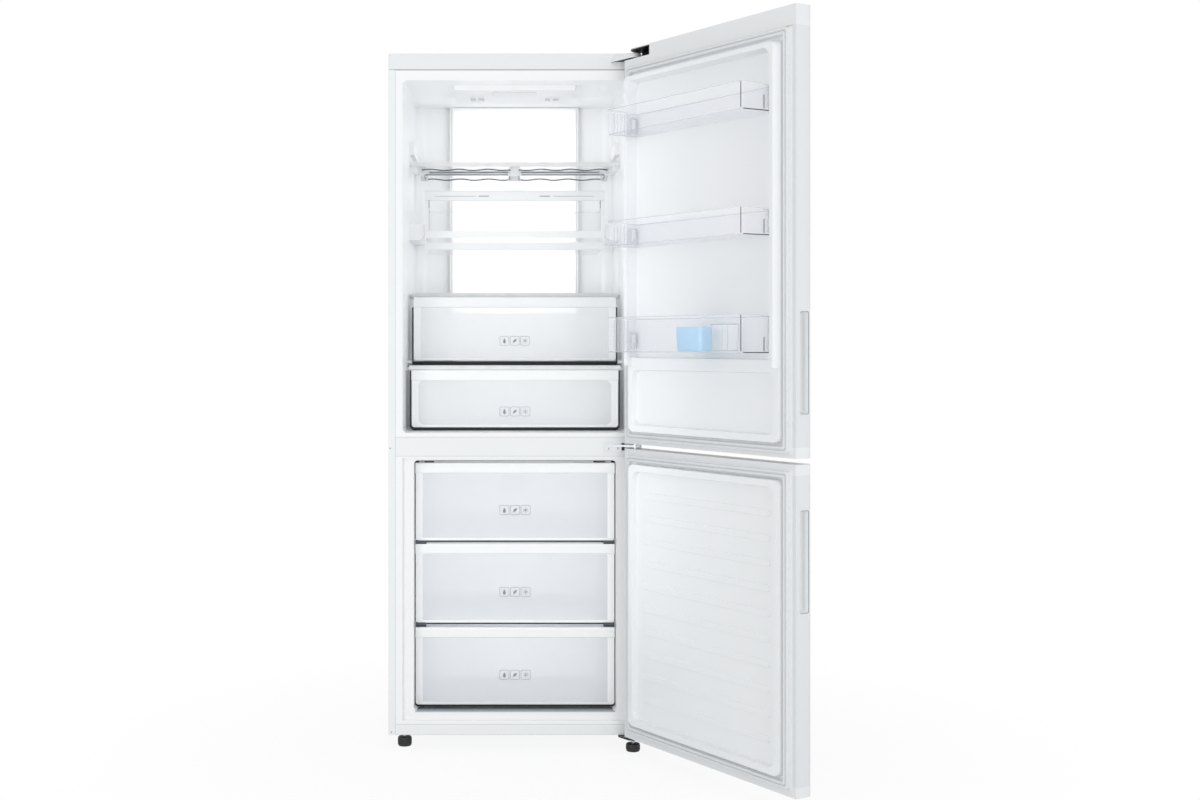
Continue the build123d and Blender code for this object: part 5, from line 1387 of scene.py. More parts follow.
@dataclass
class Seams:
    """Sealant in the joints between the liners' lips and the steel, and a strip of painted shade
    behind the top cover.
    """

    flange: float = 328.5
    levels: tuple[float, ...] = (68.0, 803.0, 855.0)
    span: Flat = (40.0, 1863.0)
    bead: float = 0.45
    bead_y: float = 0.1
    strip: Box = ((-346.5, 346.5), (1.2, 2.2), (1861.4, 1863.8))

    def build(self) -> None:
        """Makes the beads and the strip of painted shade behind the top cover's gap."""
        mould = Mould(CABINET_FRAME, (SEALANT_AND_SHADE_GREY,))
        ends = (-self.flange, self.flange)
        for x in ends:
            mould.tube([(x, self.bead_y, z) for z in self.span], self.bead, 6)
        for level in self.levels:
            mould.tube([(x, self.bead_y, level) for x in ends], self.bead, 6)
        mould.block(*self.strip)
        mould.piece("joint_sealant", "cabinet", (), "grey_white_plastic")


@dataclass
class DuctStrips:
    """The flexible strips that close the duct panel's edges against the liner."""

    half: float = 192.2
    low: float = 880.0
    top: float = 1828.2
    width: float = 4.0
    top_width: float = 5.2
    ys: Flat = (496.5, 499.0)

    def build(self) -> None:
        """Makes the strips down both sides and along the top."""
        mould = Mould(CABINET_FRAME, (LINER,))
        reach = self.half + self.width
        for side in (-1, 1):
            mould.side_block(side, (self.half, reach), self.ys, (self.low, self.top))
        mould.block((-reach, reach), self.ys, (self.top, self.top + self.top_width))
        mould.piece("duct_edge_strips", "cabinet", (), "white_liner_plastic", bevel_mm=0.4)


@dataclass
class VentGrille:
    """The air outlet's cover: a soft-cornered square with a shallow outline and closed louvres.

    A step is (how far inside the outline, corner radius, depth behind the face), from the
    back of the cover's edge inwards, and the groove, coloured grey as painted shade, runs
    between two of them. The louvre's profile is (depth behind the face, height above the louvre's
    middle).
    """

    face: float = 490.0
    level: float = 1547.0
    half: float = 39.0
    steps: tuple[Point, ...] = (
        (0.2, 15.0, 4.9),
        (0.2, 15.0, 2.4),
        (2.2, 13.0, 0.2),
        (4.5, 11.0, 0.2),
        (5.0, 10.5, 1.0),
        (5.6, 10.0, 0.4),
    )
    groove: tuple[int, int] = (3, 4)
    louvres: int = 5
    louvre_pitch: float = 9.0
    louvre_half: float = 25.0
    louvre: tuple[Flat, ...] = ((0.5, -3.6), (-0.6, -3.2), (-0.1, 2.6), (0.5, 3.0))

    def build(self) -> None:
        """Makes the cover as one piece."""
        mould = Mould(CABINET_FRAME, (GLOSS_PANEL, SEALANT_AND_SHADE_GREY))
        rings = []
        for inset, corner, depth in self.steps:
            half = self.half - inset
            around = rounded(half, half, corner, (0.0, self.level))
            rings.append(mould.ring((u, self.face + depth, v) for u, v in around))
        start, end = self.groove
        mould.bridge(rings[: start + 1])
        # The groove's faces in grey: painted shade.
        mould.use(SEALANT_AND_SHADE_GREY)
        mould.bridge(rings[start : end + 1])
        mould.use(GLOSS_PANEL)
        mould.bridge(rings[end:])
        mould.face(rings[-1])
        for n in range(self.louvres):
            z = self.level + (n - (self.louvres - 1) / 2) * self.louvre_pitch
            profile = [(self.face + depth, z + rise) for depth, rise in self.louvre]
            mould.prism(profile, Axis.X, -self.louvre_half, self.louvre_half)
        mould.piece(
            "air_vent_grille", "cabinet", ("air_duct_vent",), "grey_white_plastic", bevel_mm=0.3
        )


# ---------------------------------------------------------------- doors
@dataclass
class DoorSeal:
    """A magnetic seal: bellows, a groove and a magnet lip, mitred round the door's inner face.

    The profile is points of (distance outwards, distance from the door's inner face towards
    the cabinet). The groove's faces start at its first number's point and end at its second's.
    """

    door: str
    low: float
    high: float
    half: float = 311.5
    inner_corner: float = 3.0
    corner_growth: float = 0.33
    profile: tuple[Flat, ...] = (
        (0.2, 0.0),
        (0.2, 2.6),
        (2.4, 3.6),
        (1.2, 6.0),
        (2.6, 7.6),
        (1.4, 9.6),
        (2.2, 11.4),
        (3.2, 11.7),
        (7.4, 11.7),
        (8.0, 11.2),
        (8.2, 7.4),
        (9.0, 6.6),
        (10.6, 6.6),
        (11.2, 7.4),
        (11.4, 11.0),
        (12.0, 11.6),
        (16.4, 11.6),
        (17.4, 10.8),
        (17.6, 8.8),
        (16.2, 7.4),
        (17.6, 5.6),
        (16.4, 4.0),
        (17.8, 2.4),
        (17.8, 0.0),
    )
    groove: tuple[int, int] = (9, 14)

    def build(self) -> None:
        """Sweeps the profile round the door; the groove's faces get a darker tone as painted shade.
        """
        mould = Mould(DOOR_FRAME, (SEAL, SEAL_GROOVE_SHADE))
        middle, tall = (self.low + self.high) / 2, (self.high - self.low) / 2
        lines = []
        for u, v in self.profile:
            corner = self.inner_corner + u * self.corner_growth
            around = rounded(self.half + u, tall + u, corner, (0.0, middle))
            lines.append(mould.ring((x, DOOR_BACK_MM + v, z) for x, z in around))
        for n, line in enumerate(lines):
            mould.use(SEAL_GROOVE_SHADE if self.groove[0] <= n < self.groove[1] else SEAL)
            mould.bridge([line, lines[(n + 1) % len(lines)]])
        name = self.door + "_gasket"
        mould.piece(name + "_bellows", self.door, (name,), "door_seal_vinyl", sharp=50.0)


@dataclass
class DoorBin:
    """A clear bin: thin walls that lean out, a beaded rim, a floor step and hooks over the bosses.

    The rim falls towards the door: its slope is points of (distance from the back, share
    of the whole fall).
    """

    name: str
    low: float
    high: float
    half: float = 278.0
    back: float = -6.0
    reach: float = 103.0
    corner: float = 12.0
    round_low: float = 5.0
    rim_fall: float = 4.0
    rim_slope: tuple[Flat, ...] = ((0.0, 1.0), (30.0, 1.0), (36.0, 0.72), (42.0, 0.28), (48.0, 0.0))

    rim: float = 1.0
    rim_depth: float = 1.6
    foot: float = 1.2
    foot_lift: float = 1.2
    foot_inset: float = 3.2
    edge_line: float = 1.1
    edge_inset: float = 3.5
    round_inset: float = 8.0

    boss_ys: Flat = (1.0, 14.0)
    boss_rise: float = 22.0
    boss_height: float = 26.0
    hook_gap: float = 0.3
    hook_rib: float = 3.5
    hook_across: Flat = (-0.5, 6.2)
    end_ribs: int = 5
    end_rib_start: float = 34.0
    end_rib_pitch: float = 11.0
    end_rib: float = 1.4
    end_rib_across: Flat = (-3.4, -0.4)
    rib_foot: float = 5.0
    rib_head: float = 8.0

    @property
    def front(self) -> float:
        """The depth of the bin's front."""
        return self.back + self.reach

    def outline(self, inset: float) -> list[Point]:
        """The plan from the back's left end round the front to its right end.

        Args:
            inset: how far inside the rim the line runs.

        Returns:
            Points of (x, y, fall from the rim's full height).
        """
        half, front = self.half - inset, self.front - inset
        curve = max(self.corner - inset, 2.0)
        side = [(half, self.back + y, self.rim_fall * share) for y, share in self.rim_slope]
        for turn in quarter(6):
            x = half - curve + curve * math.cos(turn)
            y = front - curve + curve * math.sin(turn)
            side.append((x, y, 0.0))
        return [(-x, y, fall) for x, y, fall in side] + side[::-1]

    def walls(self, mould: Mould) -> None:
        """Adds the wall sheet from the rim to the round lower edge, and the floor.

        Args:
            mould: the bin's mould.
        """
        rows = [[(x, y, self.high - 0.5 - fall) for x, y, fall in self.outline(0.0)]]
        for turn in quarter(3):
            inset = self.round_low * (1 - math.cos(turn))
            height = self.low + self.round_low * (1 - math.sin(turn))
            rows.append([(x, y, height) for x, y, _ in self.outline(inset)])
        rings = [mould.ring(row) for row in rows]
        mould.bridge(rings)
        mould.face(rings[-1])

    def edges(self, mould: Mould) -> None:
        """Adds the denser edges: the rim's bead, the front's lower edge and the ends' feet.

        Args:
            mould: the bin's mould.
        """
        rim = [(x, y, self.high - self.rim_depth - fall) for x, y, fall in self.outline(-0.2)]
        mould.hoop(rim, self.rim, 8)
        level = self.low + self.foot_lift
        reach = self.half - self.round_inset
        y = self.front - self.edge_inset
        mould.tube([(-reach, y, level), (reach, y, level)], self.edge_line, 6)
        for side in (-1, 1):
            x = side * (self.half - self.foot_inset)
            ends = (self.back + 4, self.front - 10)
            mould.tube([(x, y, level) for y in ends], self.foot, 6)

    def hooks(self, mould: Mould) -> None:
        """Adds a hook over each boss, a rib down either side of it, and ribs in the hinge end.

        Args:
            mould: the bin's mould.
        """
        top = self.low + self.boss_rise + self.boss_height
        gap, rib = self.hook_gap, self.hook_rib
        first, last = self.boss_ys[0] - gap - rib, self.boss_ys[1] + gap
        across = (self.half + self.hook_across[0], self.half + self.hook_across[1])
        for side in (-1, 1):
            mould.side_block(side, across, (first, last + rib), (top + gap, top + gap + rib))
            for start in (first, last):
                levels = (self.low + self.rib_head, top + gap)
                mould.side_block(side, across, (start, start + rib), levels)
        across = (self.half + self.end_rib_across[0], self.half + self.end_rib_across[1])
        levels = (self.low + self.rib_foot, self.high - self.rib_head)
        for n in range(self.end_ribs):
            y = self.back + self.end_rib_start + n * self.end_rib_pitch
            mould.block(across, (y, y + self.end_rib), levels)

    def free_end(self, mould: Mould) -> None:
        """Adds near-black lines of painted shade along the edges of the end away from the hinge.

        Args:
            mould: the bin's mould.
        """
        x, z = -self.half + 1.4, self.low + 1.4
        mould.tube([(x, self.back + 4, z), (x, self.front - 9, z)], self.edge_line, 6)
        corner = (-self.half + 4.5, self.front - 3.6)
        mould.tube([(*corner, self.low + 4), (*corner, self.high - 2.0)], self.edge_line, 6)
        x = -self.half - 0.5
        for y, top, radius in ((17.5, self.high - 6, 0.6), (33.0, self.low + 38, 1.0)):
            mould.tube([(x, self.back + y, z) for z in (self.low + 5, top)], radius, 6)

    def build(self) -> None:
        """Makes the bin as one piece."""
        mould = Mould(DOOR_FRAME, (BIN_SHEET, RIM_CLEAR, EDGE_DARK))
        self.walls(mould)
        mould.use(RIM_CLEAR)
        self.edges(mould)
        self.hooks(mould)
        mould.use(EDGE_DARK)
        self.free_end(mould)
        mould.piece(self.name + "_moulding", self.name, (self.name,), "clear_plastic")


@dataclass
class GripCup:
    """A grip in a door's free end: a flush flange round a cup with leaning walls.

    A step of the cup is (depth behind the flange's face, how far its wall leans in).
    """

    door: str
    level: float
    middle: float = -38.5
    face: float = -347.4
    half: float = 17.4
    reach: float = 124.9
    flange: float = 3.2
    sheet: float = 1.2
    corner: float = 4.5
    steps: tuple[Flat, ...] = ((1.3, 0.0), (2.4, 0.5), (14.0, 3.2), (19.0, 4.6), (21.0, 7.0))
    lip: float = 0.8
    shade_line: float = 1.3
    shade_depth: float = 19.0
    shade_shift: float = 5.5
    shade_short: float = 12.0

    def outline(self, inset: float, corner: float) -> list[Flat]:
        """The outline of (y, z) at an inset from the flange's edge."""
        return rounded(self.half - inset, self.reach - inset, corner, (self.middle, self.level))

    def build(self) -> None:
        """Makes the flange and the cup."""
        self.flush_flange()
        self.cup()

    def flush_flange(self) -> None:
        """Makes the thin flange that lies on the door's end."""
        mould = Mould(DOOR_FRAME, (DOOR_STEEL_SHADED,))
        opening = self.outline(self.flange, self.corner)
        mould.plate(self.outline(0.0, 1.0), opening, Axis.X, self.face, self.face + self.sheet)
        name = self.door + "_grip"
        mould.piece(name + "_flange", self.door, (name,), "grey_white_plastic")

    def cup(self) -> None:
        """Makes the cup, with grey lines of painted shade round its lip and along the foot of its far
        wall.
        """
        mould = Mould(DOOR_FRAME, (GRIP_PAINTED_LIGHT, PRINT_AND_SHADE_GREY))
        rings = []
        for depth, lean in self.steps:
            line = self.outline(self.flange + lean, self.corner)
            rings.append(mould.ring((self.face + depth, y, z) for y, z in line))
        mould.bridge(rings)
        mould.face(rings[-1])
        # Grey lines of painted shade round the lip and in the far wall's foot.
        mould.use(PRINT_AND_SHADE_GREY)
        edge = self.outline(self.flange + 0.5, 4.2)
        mould.hoop([(self.face + self.sheet, y, z) for y, z in edge], self.lip)
        reach = self.reach - self.shade_short
        x, y = self.face + self.shade_depth, self.middle + self.shade_shift
        ends = (self.level - reach, self.level + reach)
        mould.tube([(x, y, z) for z in ends], self.shade_line, 6)
        mould.piece(self.door + "_grip_cup", self.door, (), "grey_white_plastic")


@dataclass(kw_only=True)
class SmallTray:
    """A small open tray with a drawn-in foot, a rolled rim and dividers."""

    name: str
    centre: Flat
    width: float
    depth: float
    corner: float
    low: float
    height: float
    finish: Finish
    rim_finish: Finish
    slot: str = "clear_plastic"
    wall: float = 2.2
    floor: float = 2.0
    rim: float = 0.7
    rim_inset: float = 0.6
    foot_inset: float = 2.6
    post: float = 0.5
    dividers: tuple[float, ...] = ()
    divider_half: float = 0.9
    divider_short: float = 4.0
    divider_drop: float = 16.0

    def outline(self, inset: float) -> list[Flat]:
        """The plan at an inset from the widest outline."""
        return rounded(
            self.width / 2 - inset, self.depth / 2 - inset, self.corner - inset * 0.4, self.centre
        )

    def levels(self) -> list[Flat]:
        """The outside's section, which draws in towards the foot.

        Returns:
            Points of (how far inside the widest outline, height), from the rim down.
        """
        top, low = self.low + self.height, self.low
        rim = [(0.0, top), (0.0, top - 7), (0.0, top - 18), (0.4, top - 26)]
        return rim + [(1.4, low + 8), (2.4, low + 3), (5.5, low)]

    def shell(self, mould: Mould) -> None:
        """Adds the outside and the inside, joined at the rim.

        Args:
            mould: the tray's mould.
        """
        levels = self.levels()
        outer = [mould.ring((u, v, z) for u, v in self.outline(inset)) for inset, z in levels]
        floor = self.low + self.floor
        inner = [
            mould.ring((u, v, max(z, floor)) for u, v in self.outline(inset + self.wall))
            for inset, z in levels
        ]
        mould.bridge(outer)
        mould.bridge(inner)
        mould.face(outer[-1])
        mould.face(inner[-1])
        mould.use(self.rim_finish)
        mould.bridge([outer[0], inner[0]])

    def lines(self, mould: Mould) -> None:
        """Adds the rim's and the foot's bead and a fine edge at each corner.

        Args:
            mould: the tray's mould.
        """
        top = self.low + self.height
        rim = [(u, v, top - 0.9) for u, v in self.outline(self.rim_inset)]
        foot = [(u, v, self.low + 3) for u, v in self.outline(self.foot_inset)]
        for line in (rim, foot):
            mould.hoop(line, self.rim)
        step = len(foot) // 4
        for n in range(4):
            post = [ring[n * step + step // 2] for ring in (foot, rim)]
            mould.tube(post, self.post, 6)

    def build(self) -> None:
        """Makes the tray as one piece."""
        mould = Mould(DOOR_FRAME, (self.finish, self.rim_finish))
        self.shell(mould)
        self.lines(mould)
        middle, reach = self.centre[1], self.depth / 2 - self.divider_short
        top = self.low + self.height - self.divider_drop
        for shift in self.dividers:
            x = self.centre[0] + shift
            mould.block(
                (x - self.divider_half, x + self.divider_half),
                (middle - reach, middle + reach),
                (self.low + self.floor, top),
            )
        mould.piece(self.name + "_moulding", self.name, (self.name,), self.slot)


@dataclass
class HingePocket:
    """The roofed pocket in the upper door's cap that the hinge's arm enters, lined in black as
    painted shade.
    """

    top: float = 1911.8
    floor: float = 1883.0
    outline: tuple[Flat, ...] = (
        (234.6, -12.1),
        (316.0, -12.1),
        (329.0, -19.0),
        (338.5, -34.0),
        (342.5, -56.0),
        (338.0, -63.8),
        (234.6, -63.8),
    )
    roof: float = 2.8
    ceiling: Flat = (5.2, 2.9)
    left: float = 237.7
    right: float = 341.5
    front: float = -60.8
    lining: float = 0.7
    floor_end: Flat = (316.0, -13.0)
    front_wall_end: float = 334.0

    def build(self) -> None:
        """Makes the roof and the black lining of painted shade."""
        roof = Mould(DOOR_FRAME, (SATIN,))
        roof.prism(self.outline, Axis.Z, self.top - self.roof, self.top)
        roof.piece("hinge_pocket_roof", "upper_door", (), "grey_white_plastic", bevel_mm=0.5)
        # The black lining paints the shade inside the pocket.
        lining = Mould(DOOR_FRAME, (BLACK_NYLON_AND_SHADE,))
        inner = [(min(max(x, self.left), self.right), max(y, self.front)) for x, y in self.outline]
        lining.prism(inner, Axis.Z, *(self.top - depth for depth in self.ceiling))
        ys = (self.front, self.floor_end[1])
        low = self.floor + 0.1
        lining.block((self.left, self.floor_end[0]), ys, (low, self.floor + self.lining))
        walls = (low + self.lining, self.top - 3.4)
        lining.block((self.left, self.left + self.lining), ys, walls)
        ys = (self.front, self.front + self.lining)
        lining.block((self.left + 0.8, self.front_wall_end), ys, walls)
        lining.piece("hinge_pocket_painted_shade", "upper_door", (), "black_plastic")


@dataclass
class HingeCover:
    """The satin cover over the upper hinge's arm: flared on the cabinet, round at the pivot.

    A row of the brim is (left root, radius round the pivot, height over the lower edge), and
    a row of the crown is (left root, radius round the pivot, distance under the top). The
    plates fill the rest of the cover's opening in the cabinet's front.
    """

    top: float = 1906.0
    fall: float = 0.1
    flare: float = 1882.5
    edge: float = 1888.3
    flare_start: float = 263.0
    flare_width: float = 23.0
    right: float = 343.5
    root_y: float = -0.3
    brim: tuple[Point, ...] = ((262.0, 16.0, 0.0), (264.0, 16.0, 2.0))
    crown: tuple[Point, ...] = ((272.0, 15.6, 4.5), (276.0, 14.2, 1.2), (279.0, 11.5, 0.0))
    round_start: float = 217.0
    round_turn: float = 127.0
    round_steps: int = 12
    plates: tuple[Box, ...] = (
        ((260.3, 269.2), (0.1, 2.3), (1887.1, 1906.9)),
        ((269.2, 312.0), (0.1, 2.3), (1895.0, 1906.9)),
    )

    def plan(self, left: float, radius: float) -> list[Flat]:
        """The outline of one row.

        Args:
            left: where its left root stands on the cabinet.
            radius: its radius round the pivot.

        Returns:
            Points from the left root round the pivot to the right root.
        """
        points = [(left, self.root_y), (left + 2.5, -4.0)]
        for step in range(self.round_steps + 1):
            turn = math.radians(self.round_start + self.round_turn * step / self.round_steps)
            x = PIVOT_MM[0] + radius * math.cos(turn)
            y = PIVOT_MM[1] + radius * math.sin(turn)
            points.append((x, y))
        return points + [(self.right, self.root_y)]

    def under(self, x: float) -> float:
        """The lower edge's height, which drops towards the flared left end."""
        share = min(max((x - self.flare_start) / self.flare_width, 0.0), 1.0)
        return self.flare + (self.edge - self.flare) * share

    def build(self) -> None:
        """Makes the cover and the plates."""
        mould = Mould(CABINET_FRAME, (SATIN, BLACK_NYLON_AND_SHADE))
        rows = []
        for left, radius, rise in self.brim:
            rows.append([(x, y, self.under(x) + rise) for x, y in self.plan(left, radius)])
        for left, radius, drop in self.crown:
            plan = self.plan(left, radius)
            rows.append([(x, y, self.top + y * self.fall - drop) for x, y in plan])
        rings = [mould.ring(row) for row in rows]
        mould.bridge(rings)
        mould.face(rings[-1])
        # The underside is black: painted shade under the cover.
        mould.use(BLACK_NYLON_AND_SHADE)
        mould.face(rings[0])
        mould.use(SATIN)
        for plate in self.plates:
            mould.block(*plate)
        mould.piece("hinge_arm_cover", "cabinet", ("hinge_cover",), "grey_white_plastic")


@dataclass
class HingeBush:
    """The nylon bush that shows above and below the middle hinge's arm."""

    xs: Flat = (291.5, 299.5)
    ys: Flat = (-8.5, -3.1)
    levels: tuple[Flat, ...] = ((819.5, 830.2), (835.8, 839.2))

    def build(self) -> None:
        """Makes both collars as one piece."""
        mould = Mould(CABINET_FRAME, (BLACK_NYLON_AND_SHADE,))
        for zs in self.levels:
            mould.block(self.xs, self.ys, zs)
        mould.piece("middle_hinge_bush", "cabinet", (), "black_plastic", bevel_mm=0.6)


# ---------------------------------------------------------------- feet and fastenings
@dataclass
class LevellingFoot:
    """A foot with a ribbed pad for turning by hand, under a zinc-plated threaded stem."""

    name: str
    centre: Flat
    pad_height: float
    stem_top: float
    pad: float = 18.8
    bore: float = 5.0
    ribs: int = 26
    rib_height: float = 0.6
    rib_half: Flat = (1.3, 0.9)
    rib_ends: Flat = (5.5, 4.5)
    pitch: float = 1.5
    thread_root: float = 4.35
    thread_crest: float = 4.95

    def pad_profile(self) -> list[Flat]:
        """The pad's section from its sole up: (radius, height).

        Returns:
            The section's points.
        """
        r, top = self.pad, self.pad_height
        foot = [(r - 3.4, 0.0), (r - 1.6, 0.6), (r - 0.5, 2.4), (r, 5.0)]
        head = [(r, top - 4.0), (r - 0.5, top - 1.6), (r - 2.2, top - 0.3), (r - 4.0, top)]
        return foot + head + [(self.bore, top)]

    def rib(self, turn: float) -> list[Flat]:
        """The plan of the grip rib that stands at an angle.

        Args:
            turn: the angle about the stem, in radians.

        Returns:
            The rib's four corners.
        """
        c, d = math.cos(turn), math.sin(turn)
        near, far = self.pad - self.rib_height, self.pad + self.rib_height
        wide, narrow = self.rib_half
        corners = ((near, -wide), (far, -narrow), (far, narrow), (near, wide))
        return [
            (self.centre[0] + c * out - d * aside, self.centre[1] + d * out + c * aside)
            for out, aside in corners
        ]

    def thread(self) -> list[Flat]:
        """The stem's section from the pad up: (radius, height).

        Returns:
            The section's points.
        """
        root, crest = self.thread_root, self.thread_crest
        profile = [(4.3, self.pad_height - 0.5)]
        level = self.pad_height
        while level < self.stem_top - 1.6:
            profile += [(root, level), (crest, level + 0.5)]
            profile += [(crest, level + 0.75), (root, level + 1.25)]
            level += self.pitch
        return profile + [(4.2, self.stem_top - 0.8), (3.6, self.stem_top)]

    def build(self) -> None:
        """Makes the pad, its ribs and the stem as one piece."""
        mould = Mould(CABINET_FRAME, (BLACK_NYLON_AND_SHADE, ZINC_PLATE))
        ground = (*self.centre, 0.0)
        mould.lathe(self.pad_profile(), ground)
        low, high = self.rib_ends[0], self.pad_height - self.rib_ends[1]
        for turn in circle(self.ribs):
            mould.prism(self.rib(turn), Axis.Z, low, high)
        mould.use(ZINC_PLATE)
        mould.lathe(self.thread(), ground, steps=32)
        mould.piece(self.name + "_moulding", self.name, (self.name,), "black_plastic")


@dataclass(frozen=True)
class ScrewHead:
    """A domed head with a cross recess, of one size.

    The dome is its section, as shares of (the radius, the height).
    """

    radius: float
    height: float
    collar: float = 0.6
    dome: tuple[Flat, ...] = ((1.0, 0.35), (0.93, 0.6), (0.72, 0.84), (0.4, 0.97))
    middle: float = 0.3
    arm: float = 0.62
    arm_half: float = 0.13
    recess: Flat = (0.5, 1.03)

    def add(self, mould: Mould, centre: Point, axis: Axis, outward: int) -> None:
        """Adds one screw's head with its recess.

        Args:
            mould: the piece that gets it.
            centre: the middle of the face that the head sits on.
            axis: the screw's axis.
            outward: 1 where the head points along the axis, and -1 where it points back.
        """
        mould.use(ZINC_PLATE)
        profile = [(self.radius, -self.collar)]
        profile += [(self.radius * across, self.height * up) for across, up in self.dome]
        profile += [(self.middle, self.height)]
        mould.lathe([(r, outward * h) for r, h in profile], centre, axis, 32)
        # The dark cross paints the shade in the recess.
        mould.use(RECESS_SHADE)
        arm, thin = self.radius * self.arm, self.radius * self.arm_half
        for a, b in ((arm, thin), (thin, arm)):
            flat = [axis.point(u, v, 0.0) for u, v in ((-a, -b), (a, -b), (a, b), (-a, b))]
            rings = []
            for share in self.recess:
                rise = axis.point(0.0, 0.0, outward * self.height * share)
                rings.append(
                    mould.ring(tuple(map(sum, zip(centre, corner, rise))) for corner in flat)
                )
            mould.bridge(rings)
            mould.face(rings[0])
            mould.face(rings[1])


@dataclass
class Screws:
    """The cabinet's screws, by the sheet that they hold."""

    front: tuple[Flat, ...] = ((-342.6, 825.0), (-339.0, 47.0), (339.0, 47.0))
    front_head: ScrewHead = ScrewHead(3.2, 1.15)
    hinge: tuple[Flat, ...] = ((256.5, 824.0), (281.5, 824.0))
    hinge_face: float = -4.4
    hinge_head: ScrewHead = ScrewHead(3.9, 0.9)
    under: tuple[Flat, ...] = ((296.5, 30.0), (296.5, 52.0))
    under_level: float = 34.0
    under_head: ScrewHead = ScrewHead(6.0, 3.8)
    top: tuple[Flat, ...] = ((281.5, 34.0), (324.5, 34.0))
    top_level: float = 1864.0
    top_head: ScrewHead = ScrewHead(6.0, 4.9)

    def build(self) -> None:
        """Makes all the heads as one piece."""
        mould = Mould(CABINET_FRAME, (ZINC_PLATE, RECESS_SHADE))
        for x, z in self.front:
            self.front_head.add(mould, (x, 0.0, z), Axis.Y, -1)
        for x, z in self.hinge:
            self.hinge_head.add(mould, (x, self.hinge_face, z), Axis.Y, -1)
        for x, y in self.under:
            self.under_head.add(mould, (x, y, self.under_level), Axis.Z, -1)
        for x, y in self.top:
            self.top_head.add(mould, (x, y, self.top_level), Axis.Z, 1)
        mould.piece("cabinet_screw_heads", "cabinet", ("cabinet_screws",), "hinge_steel")


# ---------------------------------------------------------------- studio
# What each fill lamp lights.
FRIDGE_LINING = ("fridge_liner", "duct_edge_strips")
DUCT_PARTS = ("air_duct_panel", "air_vent_grille")
FREEZER_DRAWER_PARTS = tuple(f"{row}_freezer_drawer_moulding" for row in ("top", "middle", "lowest"))
FRIDGE_DRAWER_PARTS = tuple(f"{use}_drawer_moulding" for use in ("deli", "crisper", "chill"))
DRAWER_PARTS = FRIDGE_DRAWER_PARTS + FREEZER_DRAWER_PARTS
FREEZER_PARTS = ("freezer_liner", "evaporator_cover", "freezer_shelves", *FREEZER_DRAWER_PARTS)
HUNG_PARTS = ("upper_bin", "middle_bin", "lower_bin", "blue_tray", "clear_tray")
BIN_PARTS = tuple(name + "_moulding" for name in HUNG_PARTS)
GRIPS = ("upper_door_grip_cup", "lower_door_grip_cup")
DOOR_LININGS = ("upper_door_liner", "lower_door_liner")


@dataclass
class Softbox:
    """A rectangular studio lamp behind a diffuser.

    One with lit nodes is a fill: nothing sees it, and it lights those nodes alone. It
    stands for the light that bounces about inside the object.
    """

    name: str
    place: Point
    aim: Point
    size: Flat
    watts: float
    lit_nodes: tuple[str, ...] = ()

    def build(self) -> None:
        """Hangs the lamp, turns it to its aim and links what it lights."""
        light = bpy.data.lights.new(self.name, "AREA")
        light.shape = "RECTANGLE"
        light.size, light.size_y = self.size
        light.energy = self.watts
        lamp = bpy.data.objects.new(self.name, light)
        lamp.location = self.place
        lamp.rotation_euler = (Vector(self.aim) - lamp.location).to_track_quat("-Z", "Y").to_euler()
        if self.lit_nodes:
            lamp.visible_camera = False
            lamp.visible_glossy = False
            lamp.visible_transmission = False
            lit = bpy.data.collections.new(self.name + "_lit")
            for name in self.lit_nodes:
                lit.objects.link(frame["nodes"].get(name) or bpy.data.objects[name])
            lamp.light_linking.receiver_collection = lit
        bpy.context.scene.collection.objects.link(lamp)


MIDDLE_X = -0.177
